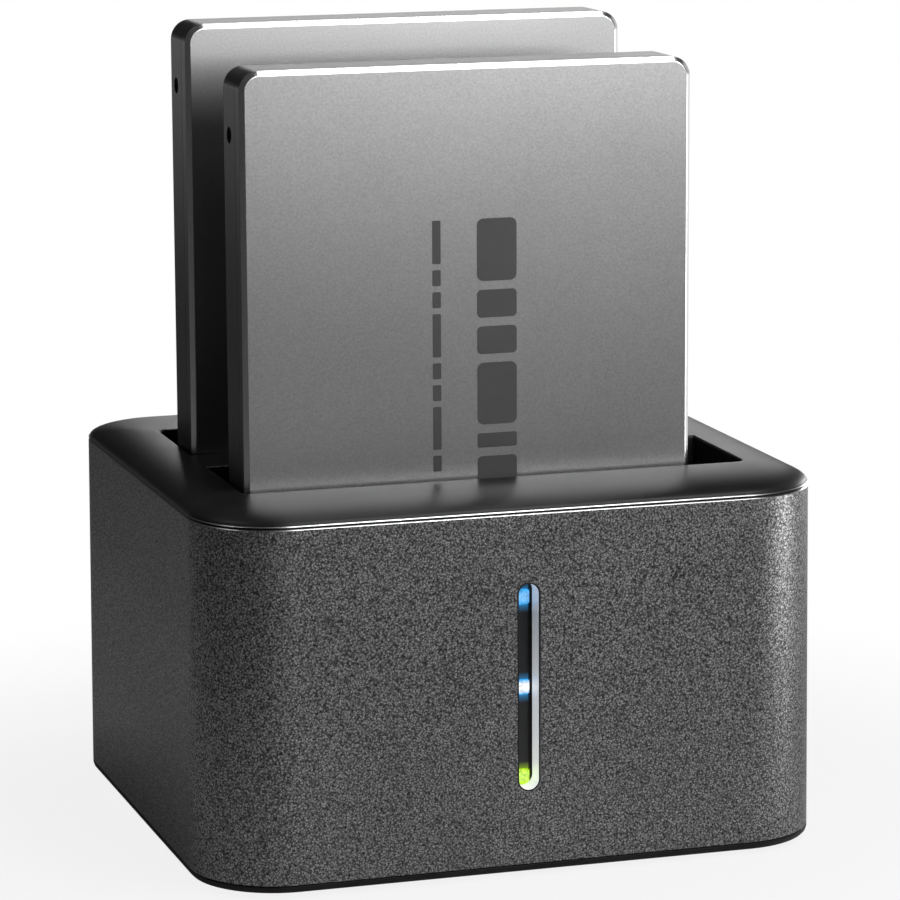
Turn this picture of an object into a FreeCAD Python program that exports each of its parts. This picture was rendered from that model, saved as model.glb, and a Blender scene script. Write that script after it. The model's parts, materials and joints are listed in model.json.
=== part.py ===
import FreeCAD, Part
import os
import re
import Sketcher

# Two-bay docking station for 2.5 inch drives, in millimetres.
# X runs to the right, Y to the rear and Z up. The origin is on the table under the dock's middle.

# Driving sizes: alias, value, meaning
SIZES = [
    ("dock_width", 97, "outside width at the top of the sleeve"),
    ("dock_depth", 90, "outside depth at the top of the sleeve"),
    ("corner_radius", 13, "upright corners of the sleeve"),
    ("wall_draft", 0.35, "how far each side stands out at the rim"),
    ("foot_stand", 0.8, "how far the feet stand below the rim"),
    ("rim_height", 1.1, "visible rim of the base"),
    ("rim_round", 0.9, "rounded lower edge of the rim"),
    ("bottom_seam", 0.2, "groove between rim and sleeve"),
    ("sleeve_height", 53.3, "height of the sleeve"),
    ("sleeve_wall", 2.2, "wall of the sleeve at the top"),
    ("sleeve_edge", 0.3, "chamfer round the top of the sleeve"),
    ("top_seam", 0.3, "groove between sleeve and bezel"),
    ("seam_depth", 1, "how deep both grooves run in"),
    ("fit_gap", 0.15, "clearance of parts that slide inside the sleeve"),
    ("crown_rise", 2.5, "height of the rounded bezel above the groove"),
    ("front_parts", 7, "parts of the free depth that lie in front of the slots"),
    ("rear_parts", 11, "parts of the free depth that lie behind the slots"),
    ("spare_parts", 3, "the slots take one part in so many of the width beside a drive"),
    ("crown_corner", 1.5, "corner radius where the crown meets the slots"),
    ("slot_depth", 22, "front to rear size of a slot"),
    ("bridge_width", 10, "land between the two slots"),
    ("bezel_plate", 2.5, "thickness of the bezel below the groove"),
    ("skirt_wall", 1.6, "wall of the skirts inside the sleeve"),
    ("skirt_drop", 3, "how far the skirt hangs below the plate"),
    ("collar_wall", 1.6, "wall round each slot under the bezel"),
    ("bay_wall", 1.5, "walls and floor of the drive bays"),
    ("post_radius", 3, "screw posts under the bezel"),
    ("post_front_side", 18.5, "front posts, from the sides"),
    ("post_front_inset", 5.4, "front posts, from the front face"),
    ("post_rear_side", 8.4, "rear posts, from the sides"),
    ("post_rear_inset", 8.4, "rear posts, from the rear face"),
    ("boss_height", 2.8, "bosses that the posts stand on"),
    ("boss_radius", 3, "bosses that the posts stand on"),
    ("case_screw_radius", 1.35, "shank of the case screws"),
    ("case_screw_length", 9, "shank of the case screws"),
    ("case_head_radius", 2.8, "head of the case screws"),
    ("case_head_height", 1.6, "head of the case screws"),
    ("head_recess", 2.1, "counterbore for a case screw head"),
    ("screw_gap", 0.05, "clearance round screws and pins"),
    ("base_floor", 2.4, "thickness of the base"),
    ("base_lip", 2.8, "lip of the base that locates the sleeve"),
    ("foot_radius", 6, "rubber feet"),
    ("foot_sunk", 1.2, "how deep the feet sit in the base"),
    ("foot_side", 12.5, "feet, from the sides"),
    ("foot_end", 19, "feet, from the front and rear faces"),
    ("board_side", 13.5, "main board, from the sides"),
    ("board_front", 15, "main board, from the front face"),
    ("board_rear", 5, "main board, from the rear face"),
    ("board_thick", 1.6, "thickness of the main board"),
    ("board_stand", 4.8, "height of the main board over the base floor"),
    ("board_tongue", 20, "width of the tongue that carries the light board"),
    ("tongue_reach", 11, "length of the tongue"),
    ("standoff_radius", 3, "standoffs of the main board"),
    ("standoff_edge", 3, "front and side edges of the main board to its standoffs"),
    ("standoff_rear", 16, "rear edge of the main board to its standoffs"),
    ("board_screw_radius", 1.2, "shank of the board screws"),
    ("board_screw_length", 5, "shank of the board screws"),
    ("board_head_radius", 2.2, "head of the board screws"),
    ("board_head_height", 1.5, "head of the board screws"),
    ("bar_width", 3.7, "light bar opening in the sleeve"),
    ("bar_height", 32, "light bar opening in the sleeve"),
    ("bar_level", 29.05, "middle of the light bar above the table"),
    ("trim_gap", 0.05, "clearance round the light bar trim"),
    ("trim_wall", 0.25, "wall of the bright trim"),
    ("trim_depth", 3.2, "depth of the bright trim"),
    ("flange_width", 7.6, "flange behind the light bar"),
    ("flange_height", 36, "flange behind the light bar"),
    ("flange_thick", 0.8, "flange behind the light bar"),
    ("window_thick", 2.4, "black window piece behind the trim"),
    ("window_cavity", 1.2, "hollow in the front of the window piece"),
    ("lens_width", 3, "light lenses"),
    ("lens_height", 2.4, "light lenses"),
    ("lens_pitch", 13.8, "distance between two lenses"),
    ("lens_drop", 1, "middle lens below the middle of the light bar"),
    ("led_gap", 0.1, "light chips behind the lenses"),
    ("led_width", 1.6, "light chips"),
    ("led_height", 1.2, "light chips"),
    ("led_thick", 0.8, "light chips"),
    ("light_board_width", 8, "upright light board"),
    ("light_board_height", 37, "upright light board"),
    ("light_board_thick", 1.2, "upright light board"),
    ("header_width", 7.5, "header at the foot of the light board"),
    ("header_size", 2.5, "section of the header"),
    ("drive_width", 69.85, "2.5 inch drive"),
    ("drive_length", 100.45, "2.5 inch drive"),
    ("drive_thick", 9.5, "2.5 inch drive"),
    ("drive_corner", 3, "corners of the drive's outline"),
    ("drive_bevel", 0.6, "bevel round the drive's front face"),
    ("drive_skin", 0.85, "sheet of the drive's cover and case"),
    ("cover_depth", 3, "how deep the drive's cover is"),
    ("drive_side_gap", 0.4, "drive to the left end of its slot"),
    ("drive_face_gap", 1.1, "drive to the front edge of its slot"),
    ("drive_seat", 19, "front drive's connector end above the rim"),
    ("rear_step", 4.2, "how much higher the rear drive stands"),
    ("side_hole_radius", 1.25, "tapped mounting holes of a drive"),
    ("side_hole_depth", 2.5, "tapped mounting holes of a drive"),
    ("side_hole_inset", 3, "mounting holes to the drive's rear face"),
    ("side_hole_low", 14, "lower mounting holes to the connector end"),
    ("side_hole_pitch", 76.6, "mounting holes along the drive"),
    ("rear_hole_inset", 4.07, "mounting holes in the rear face, from the sides"),
    ("boss_across", 6.1, "bosses round those holes"),
    ("boss_along", 5, "bosses round those holes"),
    ("drive_post_radius", 2, "screw posts inside a drive"),
    ("drive_post_inset", 5, "screw posts inside a drive, from its edges"),
    ("drive_screw_radius", 0.8, "case screws of a drive"),
    ("drive_screw_length", 5, "case screws of a drive"),
    ("drive_screw_head", 1.6, "head radius of a drive's case screws"),
    ("drive_screw_sink", 0.5, "head height of a drive's case screws"),
    ("plug_width", 42.6, "connector block of a drive"),
    ("plug_thick", 5.2, "connector block of a drive"),
    ("plug_height", 8, "connector block of a drive"),
    ("plug_offset", 4.8, "connector to the middle of the drive"),
    ("plug_inset", 3.5, "connector to the rear face of the drive"),
    ("plug_recess", 5, "mouth of the connector block"),
    ("plug_wall", 0.6, "wall round the connector's mouth"),
    ("blade_thick", 1.2, "blades in the connector"),
    ("blade_height", 4.4, "blades in the connector"),
    ("power_blade", 20.6, "width of the power blade"),
    ("signal_blade", 10.4, "width of the signal blade"),
    ("blade_space", 2.4, "space between the two blades"),
    ("socket_width", 44.6, "sockets on the main board"),
    ("socket_thick", 7, "sockets on the main board"),
    ("nose_gap", 0.25, "clearance of a socket's nose in the drive"),
    ("nose_height", 4.6, "nose of a socket above the bay floor"),
    ("blade_gap", 0.2, "clearance round the blades"),
    ("contact_pitch", 1.27, "contacts of sockets and plugs"),
    ("contact_width", 0.6, "contacts of sockets and plugs"),
    ("contact_thick", 0.15, "contacts of sockets and plugs"),
    ("contact_length", 3.6, "contacts of sockets and plugs"),
    ("card_width", 56, "board inside a drive"),
    ("card_length", 70, "board inside a drive"),
    ("card_thick", 1, "board inside a drive"),
    ("chip_size", 14, "memory chips inside a drive"),
    ("chip_thick", 1.2, "memory chips inside a drive"),
    ("window_side", 14.5, "opening in the rear of the sleeve, from the sides"),
    ("window_height", 16, "opening in the rear of the sleeve"),
    ("window_level", 15.6, "middle of the rear opening above the table"),
    ("window_round", 1, "corners of the rear opening"),
    ("panel_plate", 1.5, "plate of the rear panel"),
    ("panel_margin", 1.5, "how far the rear panel laps behind the sleeve"),
    ("panel_back", 0.35, "rear panel's plate in front of the sleeve's inner face"),
    ("panel_frame", 1.2, "frame of the rear panel"),
    ("panel_sunk", 0.3, "frame of the rear panel below the sleeve's face"),
    ("port_gap", 0.15, "clearance round the ports"),
    ("jack_share", 0.35, "power jack left of the middle, as a share of the opening"),
    ("jack_width", 9, "power jack"),
    ("jack_height", 11, "power jack"),
    ("jack_length", 14.5, "power jack"),
    ("jack_bore", 2.85, "radius of the power jack's mouth"),
    ("jack_depth", 9.5, "depth of the power jack's mouth"),
    ("jack_pin", 1, "radius of the power jack's pin"),
    ("jack_pin_length", 8.5, "length of the power jack's pin"),
    ("port_share", 0.1, "data port left of the middle, as a share of the opening"),
    ("port_width", 12, "data port"),
    ("port_height", 11.2, "data port"),
    ("port_length", 17, "data port"),
    ("port_sheet", 0.4, "sheet of the data port"),
    ("port_step", 3.2, "height of the data port's narrow part"),
    ("port_shoulder", 2.4, "width of each shoulder of the data port"),
    ("tongue_width", 5.6, "tongue of the data port"),
    ("tongue_height", 3.2, "tongue of the data port"),
    ("small_tongue_width", 4, "upper tongue of the data port"),
    ("small_tongue_height", 1, "upper tongue of the data port"),
    ("tongue_inset", 2, "tongues behind the mouth of the data port"),
    ("tongue_root", 5, "block that carries the tongues"),
    ("clone_share", 0.1, "copy button right of the middle, as a share of the opening"),
    ("clone_radius", 2, "copy button"),
    ("clone_proud", 1.3, "copy button in front of the panel"),
    ("clone_length", 4.9, "copy button"),
    ("clone_gap", 0.1, "clearance round the copy button"),
    ("clone_flange", 3, "radius of the copy button's collar"),
    ("collar_thick", 0.8, "copy button's collar"),
    ("collar_gap", 0.3, "copy button's collar to the panel"),
    ("clone_travel", 0.5, "travel of the copy button"),
    ("key_width", 6.2, "switch behind the copy button"),
    ("key_depth", 3.6, "switch behind the copy button"),
    ("key_height", 9, "switch behind the copy button"),
    ("key_gap", 0.05, "play left behind the copy button at the end of its travel"),
    ("plunger_radius", 1.7, "plunger of that switch"),
    ("plunger_sunk", 1, "plunger of that switch"),
    ("plunger_gap", 0.05, "clearance of that plunger"),
    ("switch_share", 0.33, "power switch right of the middle, as a share of the opening"),
    ("switch_flange", 1, "flange of the power switch"),
    ("switch_width", 17, "flange of the power switch"),
    ("switch_height", 11, "flange of the power switch"),
    ("switch_lap", 0.8, "flange of the power switch past its body"),
    ("switch_length", 12, "depth of the power switch"),
    ("rocker_length", 12, "rocker of the power switch"),
    ("rocker_height", 7.6, "rocker of the power switch"),
    ("rocker_side_gap", 0.2, "rocker to the switch's walls"),
    ("rocker_end_gap", 0.9, "rocker to the switch's ends"),
    ("rocker_depth", 3, "rocker's pin behind the flange"),
    ("rocker_tilt", 7, "tilt of the rocker to each side, in degrees"),
    ("rocker_belly", 2.5, "rocker behind its pin"),
    ("rocker_keel", 6, "width of the rocker's lower face"),
    ("rocker_cavity", 8, "depth of the hollow for the rocker"),
    ("rocker_pin", 0.75, "radius of the rocker's pin"),
    ("rocker_shoulder", 0.5, "rocker's ends in front of its pin"),
    ("switch_leg", 1.2, "solder legs of the power switch"),
    ("switch_leg_pitch", 5, "solder legs of the power switch"),
    ("bridge_chip_size", 10, "data chip on the main board"),
    ("copy_chip_size", 12, "copy controller on the main board"),
    ("chip_height", 1.2, "chips on the main board"),
    ("coil_size", 6, "power coils"),
    ("coil_height", 3, "power coils"),
    ("can_radius", 3.15, "round capacitors"),
    ("can_height", 5.4, "round capacitors"),
    ("crystal_length", 5, "crystals"),
    ("crystal_width", 3.2, "crystals"),
    ("crystal_height", 1, "crystals"),
    ("chip_row", 8, "row of chips, in front of the middle"),
    ("bridge_chip_x", 14, "data chip, left of the middle"),
    ("copy_chip_x", 6, "copy controller, right of the middle"),
    ("crystal_edge", 5.5, "left edge of the main board to the crystals"),
    ("crystal_pitch", 6, "crystals, from one to the next"),
    ("coil_edge", 8, "right edge of the main board to the power coils"),
    ("coil_pitch", 9, "power coils, from one to the next"),
    ("can_gap", 0.8, "rear socket to the capacitors"),
    ("can_edge", 13.5, "left edge of the main board to the middle of the capacitors"),
    ("can_pitch", 8, "capacitors, from one to the next"),
]

doc = FreeCAD.newDocument("drive_dock")
sheet = doc.addObject("Spreadsheet::Sheet", "Sizes")
ALIASES = set()
for row, (alias, amount, meaning) in enumerate(SIZES, start=1):
    sheet.set("A%d" % row, meaning)
    sheet.set("B%d" % row, str(amount))
    sheet.setAlias("B%d" % row, alias)
    ALIASES.add(alias)
doc.recompute()


# Places that several pieces share, as sums of driving sizes
RIM = "(foot_stand)"
RIM_TOP = "(foot_stand + rim_height)"
SLEEVE_FOOT = "(foot_stand + rim_height + bottom_seam)"
SLEEVE_TOP = "(foot_stand + rim_height + bottom_seam + sleeve_height)"
CROWN_FOOT = "(%s + top_seam)" % SLEEVE_TOP
PLATE_FOOT = "(%s - bezel_plate)" % SLEEVE_TOP
FLOOR = "(foot_stand + base_floor)"
BOSS_TOP = "(%s + boss_height)" % FLOOR
BOARD_FOOT = "(%s + board_stand)" % FLOOR
BOARD_TOP = "(%s + board_thick)" % BOARD_FOOT
SLOT_WIDTH = "(drive_width + (dock_width - drive_width) / spare_parts)"
SLOT_LEFT = "(-%s / 2)" % SLOT_WIDTH
CROWN_SIDE = "((dock_width - %s) / 2)" % SLOT_WIDTH
CROWN_PART = "((dock_depth - 2 * slot_depth - bridge_width) / (front_parts + rear_parts))"
CROWN_FRONT = "(%s * front_parts)" % CROWN_PART
CROWN_REAR = "(%s * rear_parts)" % CROWN_PART
FRONT_SLOT = "(%s - dock_depth / 2)" % CROWN_FRONT
REAR_SLOT = "(%s + slot_depth + bridge_width)" % FRONT_SLOT
INNER_WIDTH = "(dock_width - 2 * sleeve_wall)"
INNER_DEPTH = "(dock_depth - 2 * sleeve_wall)"
INNER_RADIUS = "(corner_radius - sleeve_wall)"
SKIRT_WIDTH = "(%s - 2 * fit_gap)" % INNER_WIDTH
SKIRT_DEPTH = "(%s - 2 * fit_gap)" % INNER_DEPTH
SKIRT_RADIUS = "(%s - fit_gap)" % INNER_RADIUS
DRIVE_MIDDLE = "(%s + drive_side_gap + drive_width / 2)" % SLOT_LEFT
SOCKET_MIDDLE = "(%s + plug_offset)" % DRIVE_MIDDLE
FRONT_FACE = "(-dock_depth / 2)"
REAR_INNER = "(dock_depth / 2 - sleeve_wall)"
BOARD_WIDTH = "(dock_width - 2 * board_side)"
BOARD_FRONT = "(board_front - dock_depth / 2)"
BOARD_REAR = "(dock_depth / 2 - board_rear)"
WINDOW_WIDTH = "(dock_width - 2 * window_side)"
JACK_X = "(-jack_share * %s)" % WINDOW_WIDTH
PORT_X = "(-port_share * %s)" % WINDOW_WIDTH
CLONE_X = "(clone_share * %s)" % WINDOW_WIDTH
SWITCH_X = "(switch_share * %s)" % WINDOW_WIDTH
PANEL_FACE = "(%s - panel_back)" % REAR_INNER
PANEL_REAR = "(%s - panel_plate)" % PANEL_FACE
SWITCH_FACE = "(%s + switch_flange)" % PANEL_FACE
SWITCH_PIVOT = "(%s - rocker_depth)" % SWITCH_FACE


# Contacts along the signal and power blades
SIGNAL_CONTACTS = 7
POWER_CONTACTS = 15


# Helpers that tie every size and place to the sheet
def names(text):
    """The expression with each alias written as a cell of the sheet."""
    return re.sub(r"[a-z_]+", lambda m: "Sizes." + m.group(0) if m.group(0) in ALIASES else m.group(0), text)


def value(text):
    """The number that an expression gives now."""
    return float(sheet.evalExpression(names(text)))


def bind(item, prop, text):
    """Ties one property to an expression of driving sizes."""
    item.setExpression(prop, names(text))


def place(item, spot):
    """Ties an object's position to three expressions."""
    for axis, text in zip("xyz", spot):
        bind(item, "Placement.Base." + axis, text)


def block(name, middle, foot, size):
    """A box centred on X and Y over its foot."""
    item = doc.addObject("Part::Box", name)
    for prop, text in zip(("Length", "Width", "Height"), size):
        bind(item, prop, text)
    place(item, ("%s - (%s) / 2" % (middle[0], size[0]), "%s - (%s) / 2" % (middle[1], size[1]), foot))
    return item


def slab(name, low, size):
    """A box from its low corner."""
    item = doc.addObject("Part::Box", name)
    for prop, text in zip(("Length", "Width", "Height"), size):
        bind(item, prop, text)
    place(item, low)
    return item


TURNS = {
    "x": FreeCAD.Rotation(FreeCAD.Vector(0, 1, 0), 90),
    "y": FreeCAD.Rotation(FreeCAD.Vector(1, 0, 0), -90),
    "z": FreeCAD.Rotation(),
}


def rod(name, start, radius, length, axis="z"):
    """A cylinder that runs from its start along an axis."""
    item = doc.addObject("Part::Cylinder", name)
    item.Placement = FreeCAD.Placement(FreeCAD.Vector(), TURNS[axis])
    bind(item, "Radius", radius)
    bind(item, "Height", length)
    place(item, start)
    return item


def join(name, items):
    """One solid from several that touch or overlap."""
    item = doc.addObject("Part::MultiFuse", name)
    item.Shapes = items
    return item


def group(name, items):
    """Separate like solids that share one node."""
    item = doc.addObject("Part::Compound", name)
    item.Links = items
    return item


def cut(name, base, tools):
    """A solid with other shapes taken out of it."""
    item = doc.addObject("Part::Cut", name)
    item.Base = base
    item.Tool = tools[0] if len(tools) == 1 else join(name + "_tools", tools)
    return item


def new_body(name):
    """A body whose sketches and features come next."""
    return doc.addObject("PartDesign::Body", name)


def new_sketch(body, name, role, offset):
    """A sketch on one of the body's own origin planes, moved by three expressions."""
    sketch = body.newObject("Sketcher::SketchObject", name)
    plane = [item for item in body.Origin.OriginFeatures if item.Role == role][0]
    sketch.AttachmentSupport = [(plane, "")]
    sketch.MapMode = "FlatFace"
    for axis, text in zip("xyz", offset):
        bind(sketch, "AttachmentOffset.Base." + axis, text)
    return sketch


def fix_point(sketch, geometry, point, spot):
    """Ties a point of the sketch to two expressions."""
    for kind, text in zip(("DistanceX", "DistanceY"), spot):
        index = sketch.addConstraint(Sketcher.Constraint(kind, -1, 1, geometry, point, value(text)))
        bind(sketch, "Constraints[%d]" % index, text)


def draw_polygon(sketch, spots):
    """A closed outline through points that are pairs of expressions."""
    first = sketch.GeometryCount
    points = [FreeCAD.Vector(value(across), value(along), 0) for across, along in spots]
    for start, end in zip(points, points[1:] + points[:1]):
        sketch.addGeometry(Part.LineSegment(start, end), False)
    for step in range(len(points)):
        after = first + (step + 1) % len(points)
        sketch.addConstraint(Sketcher.Constraint("Coincident", first + step, 2, after, 1))
    for step, spot in enumerate(spots):
        fix_point(sketch, first + step, 1, spot)


def draw_rectangle(sketch, width, height, middle=("0", "0")):
    """A sharp rectangle about its middle."""
    left = "%s - (%s) / 2" % (middle[0], width)
    right = "%s + (%s) / 2" % (middle[0], width)
    low = "%s - (%s) / 2" % (middle[1], height)
    high = "%s + (%s) / 2" % (middle[1], height)
    draw_polygon(sketch, [(left, low), (right, low), (right, high), (left, high)])


def draw_rounded(sketch, width, height, radius):
    """A rectangle with round corners about the sketch's origin."""
    half_width = value(width) / 2
    half_height = value(height) / 2
    round_size = value(radius)
    first = sketch.GeometryCount
    for turn, (across, along) in enumerate(((1, 1), (-1, 1), (-1, -1), (1, -1))):
        centre = FreeCAD.Vector(across * (half_width - round_size), along * (half_height - round_size), 0)
        circle = Part.Circle(centre, FreeCAD.Vector(0, 0, 1), round_size)
        start = FreeCAD.Units.Quantity("%d deg" % (90 * turn)).getValueAs("rad").Value
        quarter = FreeCAD.Units.Quantity("90 deg").getValueAs("rad").Value
        sketch.addGeometry(Part.ArcOfCircle(circle, start, start + quarter), False)
    for turn in range(4):
        ends = (first + turn, first + (turn + 1) % 4)
        start = sketch.getPoint(ends[0], 2)
        sketch.addGeometry(Part.LineSegment(start, sketch.getPoint(ends[1], 1)), False)
    for turn in range(4):
        side = first + 4 + turn
        sketch.addConstraint(Sketcher.Constraint("Tangent", first + turn, 2, side, 1))
        sketch.addConstraint(Sketcher.Constraint("Tangent", side, 2, first + (turn + 1) % 4, 1))
        sketch.addConstraint(Sketcher.Constraint("Horizontal" if turn % 2 == 0 else "Vertical", side))
        if turn:
            sketch.addConstraint(Sketcher.Constraint("Equal", first, first + turn))
    index = sketch.addConstraint(Sketcher.Constraint("Radius", first, round_size))
    bind(sketch, "Constraints[%d]" % index, radius)
    fix = (("DistanceY", 4, half_height, height), ("DistanceX", 5, -half_width, "-" + width),
           ("DistanceY", 6, -half_height, "-" + height), ("DistanceX", 7, half_width, width))
    for kind, line, now, text in fix:
        index = sketch.addConstraint(Sketcher.Constraint(kind, -1, 1, first + line, 1, now))
        bind(sketch, "Constraints[%d]" % index, "(%s) / 2" % text)


def draw_pill(sketch, width, height):
    """An upright slot with half-round ends about the sketch's origin."""
    radius = value(width) / 2
    reach = (value(height) - value(width)) / 2
    half_turn = FreeCAD.Units.Quantity("180 deg").getValueAs("rad").Value
    for sign, start in ((1, 0), (-1, half_turn)):
        centre = FreeCAD.Vector(0, sign * reach, 0)
        circle = Part.Circle(centre, FreeCAD.Vector(0, 0, 1), radius)
        sketch.addGeometry(Part.ArcOfCircle(circle, start, start + half_turn), False)
    sketch.addGeometry(Part.LineSegment(sketch.getPoint(0, 2), sketch.getPoint(1, 1)), False)
    sketch.addGeometry(Part.LineSegment(sketch.getPoint(1, 2), sketch.getPoint(0, 1)), False)
    for arc, line, other in ((0, 2, 1), (1, 3, 0)):
        sketch.addConstraint(Sketcher.Constraint("Tangent", arc, 2, line, 1))
        sketch.addConstraint(Sketcher.Constraint("Tangent", line, 2, other, 1))
        sketch.addConstraint(Sketcher.Constraint("Vertical", line))
    index = sketch.addConstraint(Sketcher.Constraint("Radius", 0, radius))
    bind(sketch, "Constraints[%d]" % index, "(%s) / 2" % width)
    fix_point(sketch, 0, 3, ("0", "(%s - %s) / 2" % (height, width)))
    index = sketch.addConstraint(Sketcher.Constraint("DistanceY", -1, 1, 1, 3, -reach))
    bind(sketch, "Constraints[%d]" % index, "(%s - %s) / 2" % (width, height))


def draw_circles(sketch, spots, radius):
    """Equal circles about points that are pairs of expressions."""
    for across, along in spots:
        centre = FreeCAD.Vector(value(across), value(along), 0)
        circle = Part.Circle(centre, FreeCAD.Vector(0, 0, 1), value(radius))
        index = sketch.addGeometry(circle, False)
        fix_point(sketch, index, 3, (across, along))
        index = sketch.addConstraint(Sketcher.Constraint("Radius", index, value(radius)))
        bind(sketch, "Constraints[%d]" % index, radius)


def pad(body, name, sketch, length, reverse=False):
    """Material from a sketch."""
    feature = body.newObject("PartDesign::Pad", name)
    feature.Profile = sketch
    feature.Reversed = reverse
    bind(feature, "Length", length)
    return feature


def pocket(body, name, sketch, length, reverse=False):
    """A hollow from a sketch, and a check that it does cut."""
    doc.recompute()
    before = body.Shape.Volume
    feature = body.newObject("PartDesign::Pocket", name)
    feature.Profile = sketch
    feature.Reversed = reverse
    bind(feature, "Length", length)
    doc.recompute()
    if feature.Shape.isNull() or not 0 < feature.Shape.Volume < before:
        raise RuntimeError(name + " cuts nothing")
    return feature


def loft(body, name, sections):
    """Material through sketches, straight from one to the next."""
    feature = body.newObject("PartDesign::AdditiveLoft", name)
    feature.Profile = (sections[0], [""])
    feature.Sections = [(section, [""]) for section in sections[1:]]
    feature.Ruled = True
    return feature


def mirrored(spot):
    """A spot and its twin on the other side of the middle."""
    return [spot, ("-(%s)" % spot[0],) + tuple(spot[1:])]


PIECES = []


def piece(item, label):
    """Names a finished sub-part."""
    item.Label = label
    PIECES.append(item)
    return item


POSTS = mirrored(("(dock_width / 2 - post_front_side)", "(%s + post_front_inset)" % FRONT_FACE))
POSTS = POSTS + mirrored(("(dock_width / 2 - post_rear_side)", "(dock_depth / 2 - post_rear_inset)"))
STANDOFF_X = "(%s / 2 - standoff_edge)" % BOARD_WIDTH
STANDOFFS = mirrored((STANDOFF_X, "(%s + standoff_edge)" % BOARD_FRONT))
STANDOFFS = STANDOFFS + mirrored((STANDOFF_X, "(%s - standoff_rear)" % BOARD_REAR))
FOOT_X = "(dock_width / 2 - foot_side)"
FEET = mirrored((FOOT_X, "(foot_end - dock_depth / 2)")) + mirrored((FOOT_X, "(dock_depth / 2 - foot_end)"))


# Sleeve: the grained outer wall, open above and below
def make_sleeve():
    body = new_body("sleeve_body")
    levels = ((SLEEVE_FOOT, "wall_draft"), ("(%s - sleeve_edge)" % SLEEVE_TOP, "0"),
              (SLEEVE_TOP, "-sleeve_edge"))
    sections = []
    for number, (level, out) in enumerate(levels):
        section = new_sketch(body, "sleeve_%d" % number, "XY_Plane", ("0", "0", level))
        draw_rounded(section, "(dock_width + 2 * (%s))" % out, "(dock_depth + 2 * (%s))" % out,
                     "(corner_radius + (%s))" % out)
        sections.append(section)
    loft(body, "sleeve_wall_loft", sections)
    inside = new_sketch(body, "sleeve_inside", "XY_Plane", ("0", "0", "%s + sleeve_wall" % SLEEVE_TOP))
    draw_rounded(inside, INNER_WIDTH, INNER_DEPTH, INNER_RADIUS)
    pocket(body, "sleeve_hollow", inside, "sleeve_height + 2 * sleeve_wall")
    bar = new_sketch(body, "bar_opening", "XZ_Plane", ("0", "bar_level", "dock_depth / 2 + sleeve_wall"))
    draw_pill(bar, "bar_width", "bar_height")
    pocket(body, "bar_cut", bar, "3 * sleeve_wall")
    rear = new_sketch(body, "rear_opening", "XZ_Plane",
                      ("0", "window_level", "sleeve_wall * 2 - dock_depth / 2"))
    draw_rounded(rear, WINDOW_WIDTH, "window_height", "window_round")
    pocket(body, "rear_cut", rear, "4 * sleeve_wall")
    piece(body, "sleeve")


# Top bezel: a crown that rises from the groove to the slots, with a skirt, collars and screw posts
CROWN_ANGLES = (0, 12, 24, 36, 48, 60, 75, 90)


def make_top_bezel():
    body = new_body("bezel_body")
    sections = []
    for number, angle in enumerate(CROWN_ANGLES):
        inward = "(1 - cos(%d))" % angle
        shift = "(%s - %s) / 2 * %s" % (CROWN_FRONT, CROWN_REAR, inward)
        level = "%s + crown_rise * sin(%d)" % (CROWN_FOOT, angle)
        section = new_sketch(body, "crown_%d" % number, "XY_Plane", ("0", shift, level))
        draw_rounded(section, "(dock_width - 2 * %s * %s)" % (CROWN_SIDE, inward),
                     "(dock_depth - (%s + %s) * %s)" % (CROWN_FRONT, CROWN_REAR, inward),
                     "(corner_radius - (corner_radius - crown_corner) * %s)" % inward)
        sections.append(section)
    loft(body, "crown_loft", sections)
    seat = new_sketch(body, "bezel_seat", "XY_Plane", ("0", "0", SLEEVE_TOP))
    draw_rounded(seat, "(dock_width - 2 * seam_depth)", "(dock_depth - 2 * seam_depth)",
                 "(corner_radius - seam_depth)")
    pad(body, "seat_pad", seat, "top_seam")
    skirt = new_sketch(body, "bezel_skirt", "XY_Plane", ("0", "0", "%s - skirt_drop" % PLATE_FOOT))
    draw_rounded(skirt, SKIRT_WIDTH, SKIRT_DEPTH, SKIRT_RADIUS)
    pad(body, "skirt_pad", skirt, "skirt_drop + bezel_plate")
    below = new_sketch(body, "bezel_below", "XY_Plane", ("0", "0", "%s - skirt_drop" % PLATE_FOOT))
    draw_rounded(below, "(%s - 2 * skirt_wall)" % SKIRT_WIDTH, "(%s - 2 * skirt_wall)" % SKIRT_DEPTH,
                 "(%s - skirt_wall)" % SKIRT_RADIUS)
    pocket(body, "skirt_hollow", below, "skirt_drop", reverse=True)
    hollow = new_sketch(body, "bezel_hollow", "XY_Plane", ("0", "0", PLATE_FOOT))
    draw_rounded(hollow, "(%s - 2 * skirt_wall)" % SKIRT_WIDTH, "(%s - 2 * skirt_wall)" % SKIRT_DEPTH,
                 "(%s - skirt_wall)" % SKIRT_RADIUS)
    for start in (FRONT_SLOT, REAR_SLOT):
        draw_rectangle(hollow, "(%s + 2 * collar_wall)" % SLOT_WIDTH, "(slot_depth + 2 * collar_wall)",
                       ("0", "(%s + slot_depth / 2)" % start))
    pocket(body, "plate_hollow", hollow, "bezel_plate", reverse=True)
    posts = new_sketch(body, "bezel_posts", "XY_Plane", ("0", "0", BOSS_TOP))
    draw_circles(posts, POSTS, "post_radius")
    pad(body, "posts_pad", posts, "%s - %s" % (CROWN_FOOT, BOSS_TOP))
    pilots = new_sketch(body, "bezel_pilots", "XY_Plane", ("0", "0", BOSS_TOP))
    draw_circles(pilots, POSTS, "(case_screw_radius + screw_gap)")
    pocket(body, "pilot_holes", pilots, "case_screw_length", reverse=True)
    slots = new_sketch(body, "bezel_slots", "XY_Plane", ("0", "0", "%s + 2 * crown_rise" % CROWN_FOOT))
    for start in (FRONT_SLOT, REAR_SLOT):
        draw_rectangle(slots, SLOT_WIDTH, "slot_depth", ("0", "(%s + slot_depth / 2)" % start))
    pocket(body, "slot_cut", slots, "4 * (bezel_plate + crown_rise)")
    piece(body, "top_bezel")


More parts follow.
